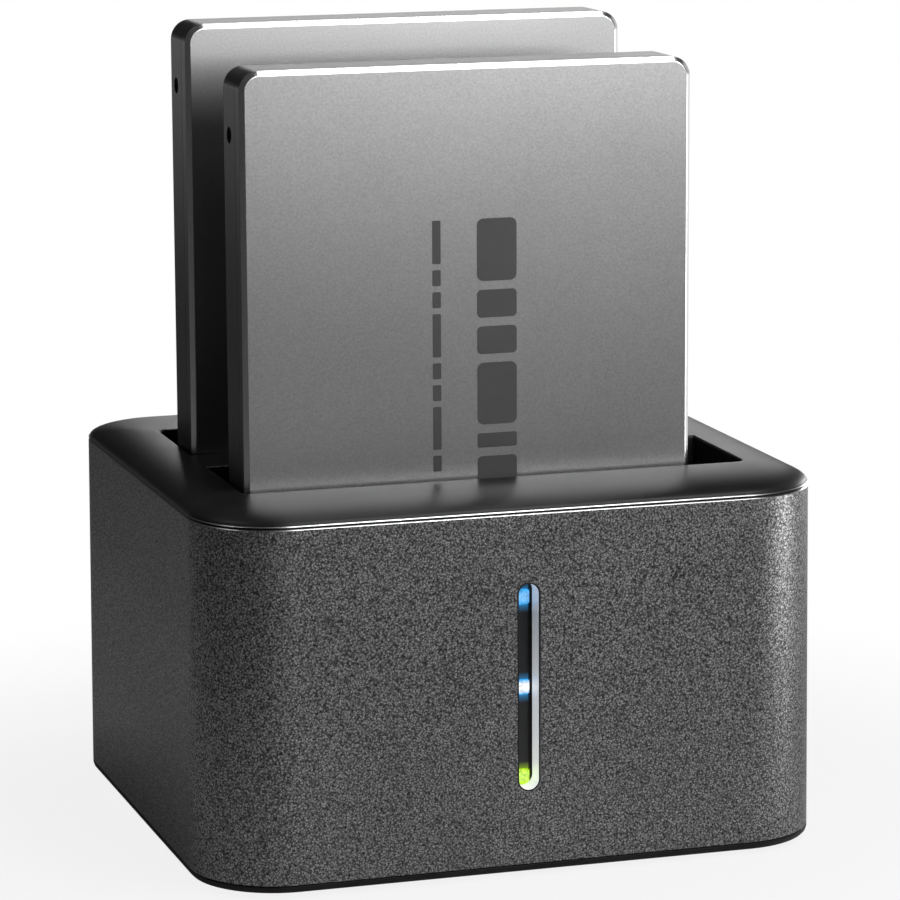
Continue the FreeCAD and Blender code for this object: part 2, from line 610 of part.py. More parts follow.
# Base: the rim with its rounded lower edge, the lip inside the sleeve, bosses, standoffs and foot wells
RIM_ANGLES = (0, 30, 60, 90)


def make_base_plate():
    body = new_body("base_body")
    sections = []
    for number, angle in enumerate(RIM_ANGLES):
        inward = "(rim_round * (1 - sin(%d)))" % angle
        level = "%s + rim_round * (1 - cos(%d))" % (RIM, angle)
        section = new_sketch(body, "rim_%d" % number, "XY_Plane", ("0", "0", level))
        draw_rounded(section, "(dock_width + 2 * wall_draft - 2 * %s)" % inward,
                     "(dock_depth + 2 * wall_draft - 2 * %s)" % inward,
                     "(corner_radius + wall_draft - %s)" % inward)
        sections.append(section)
    loft(body, "rim_loft", sections)
    edge = new_sketch(body, "rim_edge", "XY_Plane", ("0", "0", "%s + rim_round" % RIM))
    draw_rounded(edge, "(dock_width + 2 * wall_draft)", "(dock_depth + 2 * wall_draft)",
                 "(corner_radius + wall_draft)")
    pad(body, "rim_pad", edge, "rim_height - rim_round")
    seat = new_sketch(body, "base_seat", "XY_Plane", ("0", "0", RIM_TOP))
    draw_rounded(seat, "(dock_width + 2 * wall_draft - 2 * seam_depth)",
                 "(dock_depth + 2 * wall_draft - 2 * seam_depth)", "(corner_radius - seam_depth)")
    pad(body, "seat_pad", seat, "bottom_seam")
    lip = new_sketch(body, "base_lip", "XY_Plane", ("0", "0", SLEEVE_FOOT))
    draw_rounded(lip, SKIRT_WIDTH, SKIRT_DEPTH, SKIRT_RADIUS)
    pad(body, "lip_pad", lip, "%s + base_lip - %s" % (FLOOR, SLEEVE_FOOT))
    tray = new_sketch(body, "base_tray", "XY_Plane", ("0", "0", "%s + base_lip" % FLOOR))
    draw_rounded(tray, "(%s - 2 * skirt_wall)" % SKIRT_WIDTH, "(%s - 2 * skirt_wall)" % SKIRT_DEPTH,
                 "(%s - skirt_wall)" % SKIRT_RADIUS)
    pocket(body, "tray_cut", tray, "base_lip")
    bosses = new_sketch(body, "base_bosses", "XY_Plane", ("0", "0", "%s - base_floor / 2" % FLOOR))
    draw_circles(bosses, POSTS, "boss_radius")
    pad(body, "boss_pad", bosses, "boss_height + base_floor / 2")
    stands = new_sketch(body, "base_standoffs", "XY_Plane", ("0", "0", "%s - base_floor / 4" % FLOOR))
    draw_circles(stands, STANDOFFS, "standoff_radius")
    pad(body, "standoff_pad", stands, "board_stand + base_floor / 4")
    screws = new_sketch(body, "screw_ways", "XY_Plane", ("0", "0", RIM))
    draw_circles(screws, POSTS, "(case_screw_radius + screw_gap)")
    pocket(body, "screw_way_cut", screws, "base_floor + boss_height", reverse=True)
    heads = new_sketch(body, "head_wells", "XY_Plane", ("0", "0", RIM))
    draw_circles(heads, POSTS, "(case_head_radius + fit_gap)")
    pocket(body, "head_well_cut", heads, "head_recess", reverse=True)
    wells = new_sketch(body, "foot_wells", "XY_Plane", ("0", "0", RIM))
    draw_circles(wells, FEET, "(foot_radius + screw_gap)")
    pocket(body, "foot_well_cut", wells, "foot_sunk", reverse=True)
    pilots = new_sketch(body, "board_pilots", "XY_Plane", ("0", "0", BOARD_FOOT))
    draw_circles(pilots, STANDOFFS, "(board_screw_radius + screw_gap)")
    pocket(body, "board_pilot_cut", pilots, "board_screw_length")
    piece(body, "base_plate")


# Feet and case screws
def make_feet_and_screws():
    feet = [rod("foot_%d" % number, (across, along, "0"), "foot_radius", "foot_stand + foot_sunk")
            for number, (across, along) in enumerate(FEET)]
    piece(group("feet_group", feet), "rubber_feet")
    screws = []
    head_foot = "(%s + head_recess - case_head_height)" % RIM
    for number, (across, along) in enumerate(POSTS):
        head = rod("case_head_%d" % number, (across, along, head_foot), "case_head_radius",
                   "case_head_height")
        shank_foot = "(%s + head_recess)" % RIM
        shank = rod("case_shank_%d" % number, (across, along, shank_foot), "case_screw_radius",
                    "case_screw_length")
        drive = block("case_drive_%d" % number, (across, along), head_foot,
                      ("case_screw_radius * 2", "case_screw_radius / 2", "case_head_height / 2"))
        cross = block("case_cross_%d" % number, (across, along), head_foot,
                      ("case_screw_radius / 2", "case_screw_radius * 2", "case_head_height / 2"))
        screws.append(cut("case_screw_%d" % number, join("case_solid_%d" % number, [head, shank]),
                          [drive, cross]))
    piece(group("case_screw_group", screws), "case_screws")


# Bays: wells under the slots that carry the drives, with a way through the floor for the socket
def make_bay(name, start, lift, socket_y):
    floor_top = "(%s + drive_seat + %s)" % (RIM, lift)
    outer = block(name + "_outer", ("0", "%s + slot_depth / 2" % start), "%s - bay_wall" % floor_top,
                  ("%s + 2 * bay_wall" % SLOT_WIDTH, "slot_depth + 2 * bay_wall",
                   "%s - %s + bay_wall" % (PLATE_FOOT, floor_top)))
    inner = block(name + "_inner", ("0", "%s + slot_depth / 2" % start), floor_top,
                  (SLOT_WIDTH, "slot_depth", "dock_depth"))
    way = block(name + "_way", (SOCKET_MIDDLE, socket_y), "%s - 2 * bay_wall" % floor_top,
                ("plug_width", "plug_thick", "4 * bay_wall"))
    piece(cut(name + "_cut", outer, [inner, way]), name)


# Sockets: a base on the main board and a nose that enters the drive, split for the two blades
def blade_middles():
    """Middles of the signal and power blades, from the middle of the connector."""
    whole = "(power_blade + blade_space + signal_blade)"
    return (("signal", "(signal_blade - %s) / 2" % whole, "signal_blade", SIGNAL_CONTACTS),
            ("power", "(%s - power_blade) / 2" % whole, "power_blade", POWER_CONTACTS))


def contact_row(name, middle_x, count, face_y, foot):
    """Flat contacts in a row along a blade."""
    rows = []
    for number in range(count):
        across = "%s + (%d - %d / 2) * contact_pitch" % (middle_x, number, count - 1)
        rows.append(block("%s_%d" % (name, number), (across, face_y), foot,
                          ("contact_width", "contact_thick", "contact_length")))
    return rows


def make_socket(name, lift, socket_y):
    floor_top = "(%s + drive_seat + %s)" % (RIM, lift)
    foot = "(%s + %s)" % (BOARD_TOP, lift)
    base = block(name + "_base", (SOCKET_MIDDLE, socket_y), foot,
                 ("socket_width", "socket_thick", "%s - bay_wall - fit_gap - %s" % (floor_top, foot)))
    nose = block(name + "_nose", (SOCKET_MIDDLE, socket_y), foot,
                 ("plug_width - 2 * (plug_wall + nose_gap)", "plug_thick - 2 * (plug_wall + nose_gap)",
                  "%s + nose_height - %s" % (floor_top, foot)))
    ways = []
    contacts = []
    for label, shift, width, count in blade_middles():
        middle = "(%s + %s)" % (SOCKET_MIDDLE, shift)
        ways.append(block("%s_%s_way" % (name, label), (middle, socket_y), floor_top,
                          ("%s + 2 * blade_gap" % width, "blade_thick + 2 * blade_gap", "2 * nose_height")))
        face = "(%s - blade_thick / 2 - blade_gap + contact_thick / 2)" % socket_y
        contacts = contacts + contact_row("%s_%s" % (name, label), middle, count, face, floor_top)
    piece(cut(name + "_cut", join(name + "_solid", [base, nose]), ways), name)
    piece(group(name + "_contact_group", contacts), name + "_contacts")


FRONT_DRIVE = "(%s + drive_face_gap)" % FRONT_SLOT
REAR_DRIVE = "(%s + drive_face_gap)" % REAR_SLOT
BACK_TO_PLUG = "(drive_thick - plug_inset)"
BAYS = (("front", FRONT_SLOT, "0", FRONT_DRIVE), ("rear", REAR_SLOT, "rear_step", REAR_DRIVE))


# Main board and what stands on it
def make_main_board():
    sheet_part = slab("board_sheet", ("-%s / 2" % BOARD_WIDTH, BOARD_FRONT, BOARD_FOOT),
                      (BOARD_WIDTH, "%s - %s" % (BOARD_REAR, BOARD_FRONT), "board_thick"))
    tongue = slab("board_tongue_sheet", ("-board_tongue / 2", "%s - tongue_reach" % BOARD_FRONT, BOARD_FOOT),
                  ("board_tongue", "2 * tongue_reach", "board_thick"))
    holes = [rod("board_hole_%d" % number, (across, along, "%s - board_thick" % BOARD_FOOT),
                 "board_screw_radius + 2 * screw_gap", "3 * board_thick")
             for number, (across, along) in enumerate(STANDOFFS)]
    piece(cut("board_cut", join("board_solid", [sheet_part, tongue]), holes), "main_board")
    screws = []
    for number, (across, along) in enumerate(STANDOFFS):
        head = rod("board_head_%d" % number, (across, along, BOARD_TOP), "board_head_radius",
                   "board_head_height")
        shank = rod("board_shank_%d" % number, (across, along, "%s - board_screw_length" % BOARD_TOP),
                    "board_screw_radius", "board_screw_length")
        screws.append(join("board_screw_%d" % number, [head, shank]))
    piece(group("board_screw_group", screws), "board_screws")
    riser_y = "(%s + %s)" % (REAR_DRIVE, BACK_TO_PLUG)
    piece(block("riser", (SOCKET_MIDDLE, riser_y), BOARD_TOP, ("socket_width", "socket_thick", "rear_step")),
          "rear_socket_riser")
    piece(block("data_chip", ("-bridge_chip_x", "-chip_row"), BOARD_TOP,
                ("bridge_chip_size", "bridge_chip_size", "chip_height")), "bridge_chip")
    piece(block("copy_chip", ("copy_chip_x", "-chip_row"), BOARD_TOP,
                ("copy_chip_size", "copy_chip_size", "chip_height")), "copy_controller")
    coils = []
    crystals = []
    coil_x = "(%s / 2 - coil_edge)" % BOARD_WIDTH
    crystal_x = "(crystal_edge - %s / 2)" % BOARD_WIDTH
    for number, shift in enumerate(("-1 / 2", "1 / 2")):
        coils.append(block("coil_%d" % number, (coil_x, "-chip_row + coil_pitch * %s" % shift), BOARD_TOP,
                           ("coil_size", "coil_size", "coil_height")))
        crystals.append(block("crystal_%d" % number,
                              (crystal_x, "-chip_row + crystal_pitch * %s" % shift), BOARD_TOP,
                              ("crystal_length", "crystal_width", "crystal_height")))
    piece(group("coil_group", coils), "power_coils")
    piece(group("crystal_group", crystals), "crystals")
    can_x = "(can_edge - %s / 2)" % BOARD_WIDTH
    can_row = "%s + socket_thick / 2 + can_gap + can_radius" % riser_y
    cans = [rod("can_%d" % number, ("%s + can_pitch * %s" % (can_x, shift), can_row, BOARD_TOP), "can_radius",
                "can_height") for number, shift in enumerate(("-1 / 2", "1 / 2"))]
    piece(group("can_group", cans), "filter_capacitors")


# Light bar: bright trim in the sleeve, black window piece, three lenses, light chips and their board
def make_light_bar():
    behind = "(%s + sleeve_wall)" % FRONT_FACE
    window_face = "(%s + flange_thick)" % behind
    body = new_body("trim_body")
    outer = new_sketch(body, "trim_outer", "XZ_Plane", ("0", "bar_level", "-%s" % FRONT_FACE))
    draw_pill(outer, "(bar_width - 2 * trim_gap)", "(bar_height - 2 * trim_gap)")
    pad(body, "trim_pad", outer, "trim_depth", reverse=True)
    flange = new_sketch(body, "trim_flange", "XZ_Plane", ("0", "bar_level", "-%s" % behind))
    draw_rectangle(flange, "flange_width", "flange_height")
    pad(body, "flange_pad", flange, "flange_thick", reverse=True)
    inner = new_sketch(body, "trim_inner", "XZ_Plane", ("0", "bar_level", "-%s" % FRONT_FACE))
    draw_pill(inner, "(bar_width - 2 * trim_gap - 2 * trim_wall)",
              "(bar_height - 2 * trim_gap - 2 * trim_wall)")
    pocket(body, "trim_hollow", inner, "2 * trim_depth")
    piece(body, "light_bar_trim")

    body = new_body("window_body")
    plate = new_sketch(body, "window_plate", "XZ_Plane", ("0", "bar_level", "-%s" % window_face))
    draw_rectangle(plate, "flange_width", "flange_height")
    pad(body, "window_pad", plate, "window_thick", reverse=True)
    hollow = new_sketch(body, "window_hollow", "XZ_Plane", ("0", "bar_level", "-%s" % window_face))
    draw_pill(hollow, "bar_width", "bar_height")
    pocket(body, "window_hollow_cut", hollow, "window_cavity")
    ways = new_sketch(body, "lens_ways", "XZ_Plane", ("0", "bar_level - lens_drop", "-%s" % window_face))
    for step in (-1, 0, 1):
        draw_rectangle(ways, "(lens_width + 2 * screw_gap)", "(lens_height + 2 * screw_gap)",
                       ("0", "%d * lens_pitch" % step))
    pocket(body, "lens_way_cut", ways, "2 * window_thick")
    piece(body, "light_bar_window")

    lens_face = "(%s + window_cavity)" % window_face
    led_face = "(%s + window_thick + led_gap)" % window_face
    leds = []
    for step, label in ((1, "upper"), (0, "middle"), (-1, "lower")):
        level = "(bar_level - lens_drop + %d * lens_pitch)" % step
        length = "(window_thick - window_cavity)"
        piece(slab(label + "_lens_block", ("-lens_width / 2", lens_face, "%s - lens_height / 2" % level),
                   ("lens_width", length, "lens_height")), label + "_light_lens")
        leds.append(slab(label + "_led", ("-led_width / 2", led_face, "%s - led_height / 2" % level),
                         ("led_width", "led_thick", "led_height")))
    piece(group("led_group", leds), "status_lights")
    board_face = "(%s + led_thick)" % led_face
    piece(slab("light_board_sheet", ("-light_board_width / 2", board_face, BOARD_TOP),
               ("light_board_width", "light_board_thick", "light_board_height")), "light_board")
    piece(slab("header_block", ("-header_width / 2", "%s + light_board_thick" % board_face, BOARD_TOP),
               ("header_width", "header_size", "header_size")), "light_board_header")


# Rear panel: a plate behind the sleeve's opening, a frame that fills it, and holes for what shows there
def port_outline(extra):
    """Corners of the data port's stepped outline, grown by an amount on every side."""
    half = "(port_width / 2 + %s)" % extra
    narrow = "(port_width / 2 - port_shoulder + %s)" % extra
    low = "(%s - %s)" % (BOARD_TOP, extra)
    step = "(%s + port_height - port_step + %s)" % (BOARD_TOP, extra)
    top = "(%s + port_height + %s)" % (BOARD_TOP, extra)
    spots = [(half, low), (half, step), (narrow, step), (narrow, top)]
    twins = [("-" + across, along) for across, along in reversed(spots)]
    return [("%s + %s" % (PORT_X, across), along) for across, along in spots + twins]


def make_rear_panel():
    body = new_body("panel_body")
    plate = new_sketch(body, "panel_plate_outline", "XZ_Plane", ("0", "window_level", "-%s" % PANEL_REAR))
    draw_rounded(plate, "(%s + 2 * panel_margin)" % WINDOW_WIDTH, "(window_height + 2 * panel_margin)",
                 "(window_round + panel_margin)")
    pad(body, "panel_pad", plate, "panel_plate + panel_back - screw_gap", reverse=True)
    frame = new_sketch(body, "panel_frame_outline", "XZ_Plane", ("0", "window_level", "-%s" % PANEL_FACE))
    draw_rounded(frame, "(%s - 2 * fit_gap)" % WINDOW_WIDTH, "(window_height - 2 * fit_gap)", "window_round")
    pad(body, "frame_pad", frame, "panel_back + sleeve_wall - panel_sunk", reverse=True)
    recess = new_sketch(body, "panel_recess", "XZ_Plane", ("0", "window_level", "-dock_depth / 2"))
    draw_rounded(recess, "(%s - 2 * fit_gap - 2 * panel_frame)" % WINDOW_WIDTH,
                 "(window_height - 2 * fit_gap - 2 * panel_frame)", "window_round")
    pocket(body, "recess_cut", recess, "panel_back + sleeve_wall", reverse=True)
    holes = new_sketch(body, "panel_holes", "XZ_Plane", ("0", "0", "-%s" % PANEL_FACE))
    draw_rectangle(holes, "(jack_width + 2 * port_gap)", "(jack_height + 2 * port_gap)",
                   (JACK_X, "(%s + jack_height / 2)" % BOARD_TOP))
    draw_polygon(holes, port_outline("port_gap"))
    draw_circles(holes, [(CLONE_X, "window_level")], "(clone_radius + clone_gap)")
    draw_rectangle(holes, "(switch_width - 2 * switch_lap + 2 * port_gap)",
                   "(switch_height - 2 * switch_lap + 2 * port_gap)", (SWITCH_X, "window_level"))
    pocket(body, "hole_cut", holes, "2 * panel_plate", reverse=True)
    piece(body, "rear_panel")


# Power jack, data port and power switch on the main board's rear edge
def make_ports():
    jack_level = "(%s + jack_height / 2)" % BOARD_TOP
    shell = slab("jack_block", ("%s - jack_width / 2" % JACK_X, "%s - jack_length" % PANEL_FACE, BOARD_TOP),
                 ("jack_width", "jack_length", "jack_height"))
    mouth = rod("jack_mouth", (JACK_X, "%s - jack_depth" % PANEL_FACE, jack_level), "jack_bore",
                "2 * jack_depth", "y")
    piece(cut("jack_cut", shell, [mouth]), "power_jack")
    piece(rod("jack_pin_rod", (JACK_X, "%s - jack_depth" % PANEL_FACE, jack_level), "jack_pin",
              "jack_pin_length", "y"), "power_jack_pin")

    body = new_body("port_body")
    outline = new_sketch(body, "port_outline", "XZ_Plane", ("0", "0", "port_length - %s" % PANEL_FACE))
    draw_polygon(outline, port_outline("0"))
    pad(body, "port_pad", outline, "port_length", reverse=True)
    inner = new_sketch(body, "port_inner", "XZ_Plane", ("0", "0", "-%s" % PANEL_FACE))
    draw_polygon(inner, port_outline("(-port_sheet)"))
    pocket(body, "port_hollow", inner, "port_length - port_sheet", reverse=True)
    piece(body, "data_port_shell")
    root = "(%s - port_length + port_sheet)" % PANEL_FACE
    reach = "(port_length - port_sheet - tongue_inset)"
    low = "(%s + port_sheet)" % BOARD_TOP
    block_part = slab("tongue_block", ("%s - port_width / 2 + port_sheet" % PORT_X, root, low),
                      ("port_width - 2 * port_sheet", "tongue_root",
                       "port_height - port_step - 2 * port_sheet"))
    upper_left = "%s - port_width / 2 + port_shoulder + port_sheet" % PORT_X
    upper_block = slab("tongue_upper", (upper_left, root, low),
                       ("port_width - 2 * port_shoulder - 2 * port_sheet", "tongue_root",
                        "port_height - 2 * port_sheet"))
    middle = "(%s + (port_height - port_step) / 2)" % BOARD_TOP
    main = slab("tongue_main", ("%s - tongue_width / 2" % PORT_X, root, "%s - tongue_height / 2" % middle),
                ("tongue_width", reach, "tongue_height"))
    upper_level = "(%s + port_height - port_step / 2)" % BOARD_TOP
    small = slab("tongue_small", ("%s - small_tongue_width / 2" % PORT_X, root,
                                  "%s - small_tongue_height / 2" % upper_level),
                 ("small_tongue_width", reach, "small_tongue_height"))
    piece(join("tongue_solid", [block_part, upper_block, main, small]), "data_port_tongue")


def make_power_switch():
    body_width = "(switch_width - 2 * switch_lap)"
    body_height = "(switch_height - 2 * switch_lap)"
    hollow_width = "(rocker_length + 2 * rocker_end_gap)"
    hollow_height = "(rocker_height + 2 * rocker_side_gap)"
    flange = slab("switch_flange_block", ("%s - switch_width / 2" % SWITCH_X, PANEL_FACE,
                                          "window_level - switch_height / 2"),
                  ("switch_width", "switch_flange", "switch_height"))
    case = slab("switch_case", ("%s - %s / 2" % (SWITCH_X, body_width), "%s - switch_length" % SWITCH_FACE,
                                "window_level - %s / 2" % body_height),
                (body_width, "switch_length", body_height))
    hollow = slab("switch_hollow", ("%s - %s / 2" % (SWITCH_X, hollow_width),
                                    "%s - rocker_cavity" % SWITCH_FACE,
                                    "window_level - %s / 2" % hollow_height),
                  (hollow_width, "2 * rocker_cavity", hollow_height))
    pin_foot = "(window_level - %s / 2)" % body_height
    seat = rod("pin_seat", (SWITCH_X, SWITCH_PIVOT, pin_foot), "rocker_pin + screw_gap", body_height)
    piece(cut("switch_cut", join("switch_solid", [flange, case]), [hollow, seat]), "power_switch_case")
    piece(rod("pin_rod", (SWITCH_X, SWITCH_PIVOT, pin_foot), "rocker_pin", body_height),
          "rocker_pivot_pin")
    legs = [block("switch_leg_%d" % number, ("%s + %s * switch_leg_pitch" % (SWITCH_X, shift),
                                             "%s - switch_length + switch_leg" % SWITCH_FACE), BOARD_TOP,
                  ("switch_leg", "switch_leg", "%s - %s" % (pin_foot, BOARD_TOP)))
            for number, shift in enumerate(("-1", "0", "1"))]
    piece(group("leg_group", legs), "power_switch_legs")

    body = new_body("rocker_body")
    outline = new_sketch(body, "rocker_outline", "XY_Plane", ("0", "0", "-rocker_height / 2"))
    half = "rocker_length / 2"
    tip = "rocker_depth + rocker_length / 2 * tan(rocker_tilt)"
    draw_polygon(outline, [("-" + half, tip), ("-" + half, "rocker_shoulder"),
                           ("-rocker_keel / 2", "-rocker_belly"), ("rocker_keel / 2", "-rocker_belly"),
                           (half, "rocker_shoulder"), (half, tip), ("0", "rocker_depth")])
    pad(body, "rocker_pad", outline, "rocker_height")
    bore = new_sketch(body, "rocker_bore", "XY_Plane", ("0", "0", "rocker_height / 2"))
    draw_circles(bore, [("0", "0")], "(rocker_pin + screw_gap)")
    pocket(body, "rocker_bore_cut", bore, "rocker_height")
    body.Placement = FreeCAD.Placement(FreeCAD.Vector(), FreeCAD.Rotation(FreeCAD.Vector(0, 0, 1), 1))
    bind(body, "Placement.Rotation.Angle", "rocker_tilt")
    place(body, (SWITCH_X, SWITCH_PIVOT, "window_level"))
    piece(body, "power_rocker")


# Copy button, with the small switch it presses
def make_copy_button():
    back = "(%s + clone_proud - clone_length)" % PANEL_FACE
    cap = rod("clone_cap", (CLONE_X, back, "window_level"), "clone_radius", "clone_length", "y")
    collar = rod("clone_collar", (CLONE_X, "%s - collar_gap - collar_thick" % PANEL_REAR, "window_level"),
                 "clone_flange", "collar_thick", "y")
    piece(join("clone_solid", [cap, collar]), "copy_button")
    key_face = "(%s - clone_travel - key_gap)" % back
    case = slab("key_case", ("%s - key_width / 2" % CLONE_X, "%s - key_depth" % key_face, BOARD_TOP),
                ("key_width", "key_depth", "key_height"))
    bore = rod("key_bore", (CLONE_X, "%s - plunger_sunk - clone_travel - key_gap" % key_face,
                            "window_level"), "plunger_radius + plunger_gap", "key_depth", "y")
    piece(cut("key_cut", case, [bore]), "copy_switch")
    piece(rod("plunger_rod", (CLONE_X, "%s - plunger_sunk" % key_face, "window_level"), "plunger_radius",
              "plunger_sunk + clone_travel + key_gap", "y"), "copy_switch_plunger")


# Drives: bevelled cover, case with its mounting holes, board, chips, connector, contacts and screws
def make_drive(name, face, lift):
    end = "(%s + drive_seat + %s)" % (RIM, lift)
    middle_z = "(%s + drive_length / 2)" % end
    split = "(%s + cover_depth)" % face
    rear = "(%s + drive_thick)" % face
    posts = [("%s * (drive_width / 2 - drive_post_inset)" % across,
              "%s * (drive_length / 2 - drive_post_inset)" % along)
             for across in ("-1", "1") for along in ("-1", "1")]

    def sketch_at(body, label, along):
        return new_sketch(body, name + label, "XZ_Plane", (DRIVE_MIDDLE, middle_z, "-(%s)" % along))

    body = new_body(name + "_cover_body")
    bevel = sketch_at(body, "_cover_face", face)
    draw_rounded(bevel, "(drive_width - 2 * drive_bevel)", "(drive_length - 2 * drive_bevel)",
                 "(drive_corner - drive_bevel)")
    edge = sketch_at(body, "_cover_edge", "%s + drive_bevel" % face)
    draw_rounded(edge, "drive_width", "drive_length", "drive_corner")
    rim = sketch_at(body, "_cover_rim", split)
    draw_rounded(rim, "drive_width", "drive_length", "drive_corner")
    loft(body, name + "_cover_loft", [bevel, edge, rim])
    inside = sketch_at(body, "_cover_inside", split)
    draw_rounded(inside, "(drive_width - 2 * drive_skin)", "(drive_length - 2 * drive_skin)",
                 "(drive_corner - drive_skin)")
    pocket(body, name + "_cover_hollow", inside, "cover_depth - drive_skin", reverse=True)
    stems = sketch_at(body, "_cover_posts", "%s + drive_skin / 2" % face)
    draw_circles(stems, posts, "drive_post_radius")
    pad(body, name + "_post_pad", stems, "drive_thick - 3 * drive_skin / 2", reverse=True)
    pilots = sketch_at(body, "_cover_pilots", "%s - drive_skin" % rear)
    draw_circles(pilots, posts, "(drive_screw_radius + screw_gap)")
    pocket(body, name + "_pilot_cut", pilots, "drive_screw_length", reverse=True)
    piece(body, name + "_cover")

    body = new_body(name + "_case_body")
    outline = sketch_at(body, "_case_outline", split)
    draw_rounded(outline, "drive_width", "drive_length", "drive_corner")
    pad(body, name + "_case_pad", outline, "drive_thick - cover_depth", reverse=True)
    inside = sketch_at(body, "_case_inside", split)
    draw_rounded(inside, "(drive_width - 2 * drive_skin)", "(drive_length - 2 * drive_skin)",
                 "(drive_corner - drive_skin)")
    pocket(body, name + "_case_hollow", inside, "drive_thick - cover_depth - drive_skin")
    bosses = sketch_at(body, "_case_bosses", rear)
    low_hole = "(side_hole_low - drive_length / 2)"
    hole_levels = (low_hole, "(%s + side_hole_pitch)" % low_hole)
    for across in ("-1", "1"):
        for level in hole_levels:
            draw_rectangle(bosses, "boss_across", "boss_along",
                           ("%s * (drive_width - boss_across) / 2" % across, level))
    pad(body, name + "_boss_pad", bosses, "side_hole_inset + boss_along / 2")
    rear_holes = sketch_at(body, "_rear_holes", rear)
    draw_circles(rear_holes, [("%s * (drive_width / 2 - rear_hole_inset)" % across, level)
                              for across in ("-1", "1") for level in hole_levels], "side_hole_radius")
    pocket(body, name + "_rear_hole_cut", rear_holes, "side_hole_depth", reverse=True)
    for label, sign, back in (("left", "-1", True), ("right", "1", False)):
        side_face = "%s + %s * drive_width / 2" % (DRIVE_MIDDLE, sign)
        holes = new_sketch(body, "%s_%s_holes" % (name, label), "YZ_Plane",
                           ("%s - side_hole_inset" % rear, middle_z, side_face))
        draw_circles(holes, [("0", level) for level in hole_levels], "side_hole_radius")
        pocket(body, "%s_%s_hole_cut" % (name, label), holes, "side_hole_depth", reverse=back)
    ways = sketch_at(body, "_screw_ways", rear)
    draw_circles(ways, posts, "(drive_screw_radius + screw_gap)")
    pocket(body, name + "_screw_way_cut", ways, "2 * drive_skin", reverse=True)
    heads = sketch_at(body, "_screw_heads", rear)
    draw_circles(heads, posts, "(drive_screw_head + screw_gap)")
    pocket(body, name + "_head_cut", heads, "drive_screw_sink", reverse=True)
    mouth = new_sketch(body, name + "_mouth", "XY_Plane", (SOCKET_MIDDLE, "0", "%s - drive_skin" % end))
    plug_rear = "(%s - plug_inset + plug_thick / 2 + screw_gap)" % rear
    half = "(plug_width / 2 + screw_gap)"
    draw_polygon(mouth, [("-" + half, "(%s - screw_gap)" % split), (half, "(%s - screw_gap)" % split),
                         (half, plug_rear), ("-" + half, plug_rear)])
    pocket(body, name + "_mouth_cut", mouth, "3 * drive_skin", reverse=True)
    piece(body, name + "_case")

    plug_y = "(%s - plug_inset)" % rear
    shell = block(name + "_plug_shell", (SOCKET_MIDDLE, plug_y), end,
                  ("plug_width", "plug_thick", "plug_height"))
    recess = block(name + "_plug_recess", (SOCKET_MIDDLE, plug_y), "%s - plug_recess" % end,
                   ("plug_width - 2 * plug_wall", "plug_thick - 2 * plug_wall", "2 * plug_recess"))
    blades = []
    strips = []
    twins = []
    for label, shift, width, count in blade_middles():
        middle = "(%s + %s)" % (SOCKET_MIDDLE, shift)
        top = "(%s + plug_recess)" % end
        blades.append(block("%s_%s_blade" % (name, label), (middle, plug_y), "%s - blade_height" % top,
                            (width, "blade_thick", "blade_height")))
        face_y = "(%s - blade_thick / 2 + contact_thick / 2)" % plug_y
        foot = "(%s - contact_length)" % top
        strips = strips + contact_row("%s_%s_strip" % (name, label), middle, count, face_y, foot)
        twins = twins + contact_row("%s_%s_groove" % (name, label), middle, count, face_y, foot)
    hollow_plug = cut(name + "_plug_hollow", shell, [recess])
    piece(cut(name + "_plug_cut", join(name + "_plug_solid", [hollow_plug] + blades), twins), name + "_plug")
    piece(group(name + "_strip_group", strips), name + "_contacts")

    card_foot = "(%s + plug_height)" % end
    card_y = "(%s - card_thick / 2)" % plug_y
    piece(slab(name + "_card_sheet", ("%s - card_width / 2" % DRIVE_MIDDLE, card_y, card_foot),
               ("card_width", "card_thick", "card_length")), name + "_board")
    chips = []
    for across in ("-1", "1"):
        for along in ("1", "3"):
            chips.append(slab("%s_chip_%s_%s" % (name, "right" if across == "1" else "left", along),
                              ("%s + %s * chip_size - chip_size / 2" % (DRIVE_MIDDLE, across),
                               "%s - chip_thick" % card_y, "%s + %s * chip_size" % (card_foot, along)),
                              ("chip_size", "chip_thick", "chip_size")))
    piece(group(name + "_chip_group", chips), name + "_chips")
    screws = []
    for number, (across, along) in enumerate(posts):
        spot_x = "%s + %s" % (DRIVE_MIDDLE, across)
        spot_z = "%s + %s" % (middle_z, along)
        head = rod("%s_head_%d" % (name, number), (spot_x, "%s - drive_screw_sink" % rear, spot_z),
                   "drive_screw_head", "drive_screw_sink", "y")
        shank = rod("%s_shank_%d" % (name, number), (spot_x, "%s - drive_screw_length" % rear, spot_z),
                    "drive_screw_radius", "drive_screw_length - drive_screw_sink / 2", "y")
        screws.append(join("%s_screw_%d" % (name, number), [head, shank]))
    piece(group(name + "_screw_group", screws), name + "_screws")


make_sleeve()
make_top_bezel()
make_base_plate()
make_feet_and_screws()
for side, start, lift, face in BAYS:
    plug_y = "(%s + %s)" % (face, BACK_TO_PLUG)
    make_bay(side + "_bay", start, lift, plug_y)
    make_socket(side + "_drive_socket", lift, plug_y)
make_main_board()
make_light_bar()
make_rear_panel()
make_ports()
make_power_switch()
make_copy_button()
for side, start, lift, face in BAYS:
    make_drive(side + "_drive", face, lift)

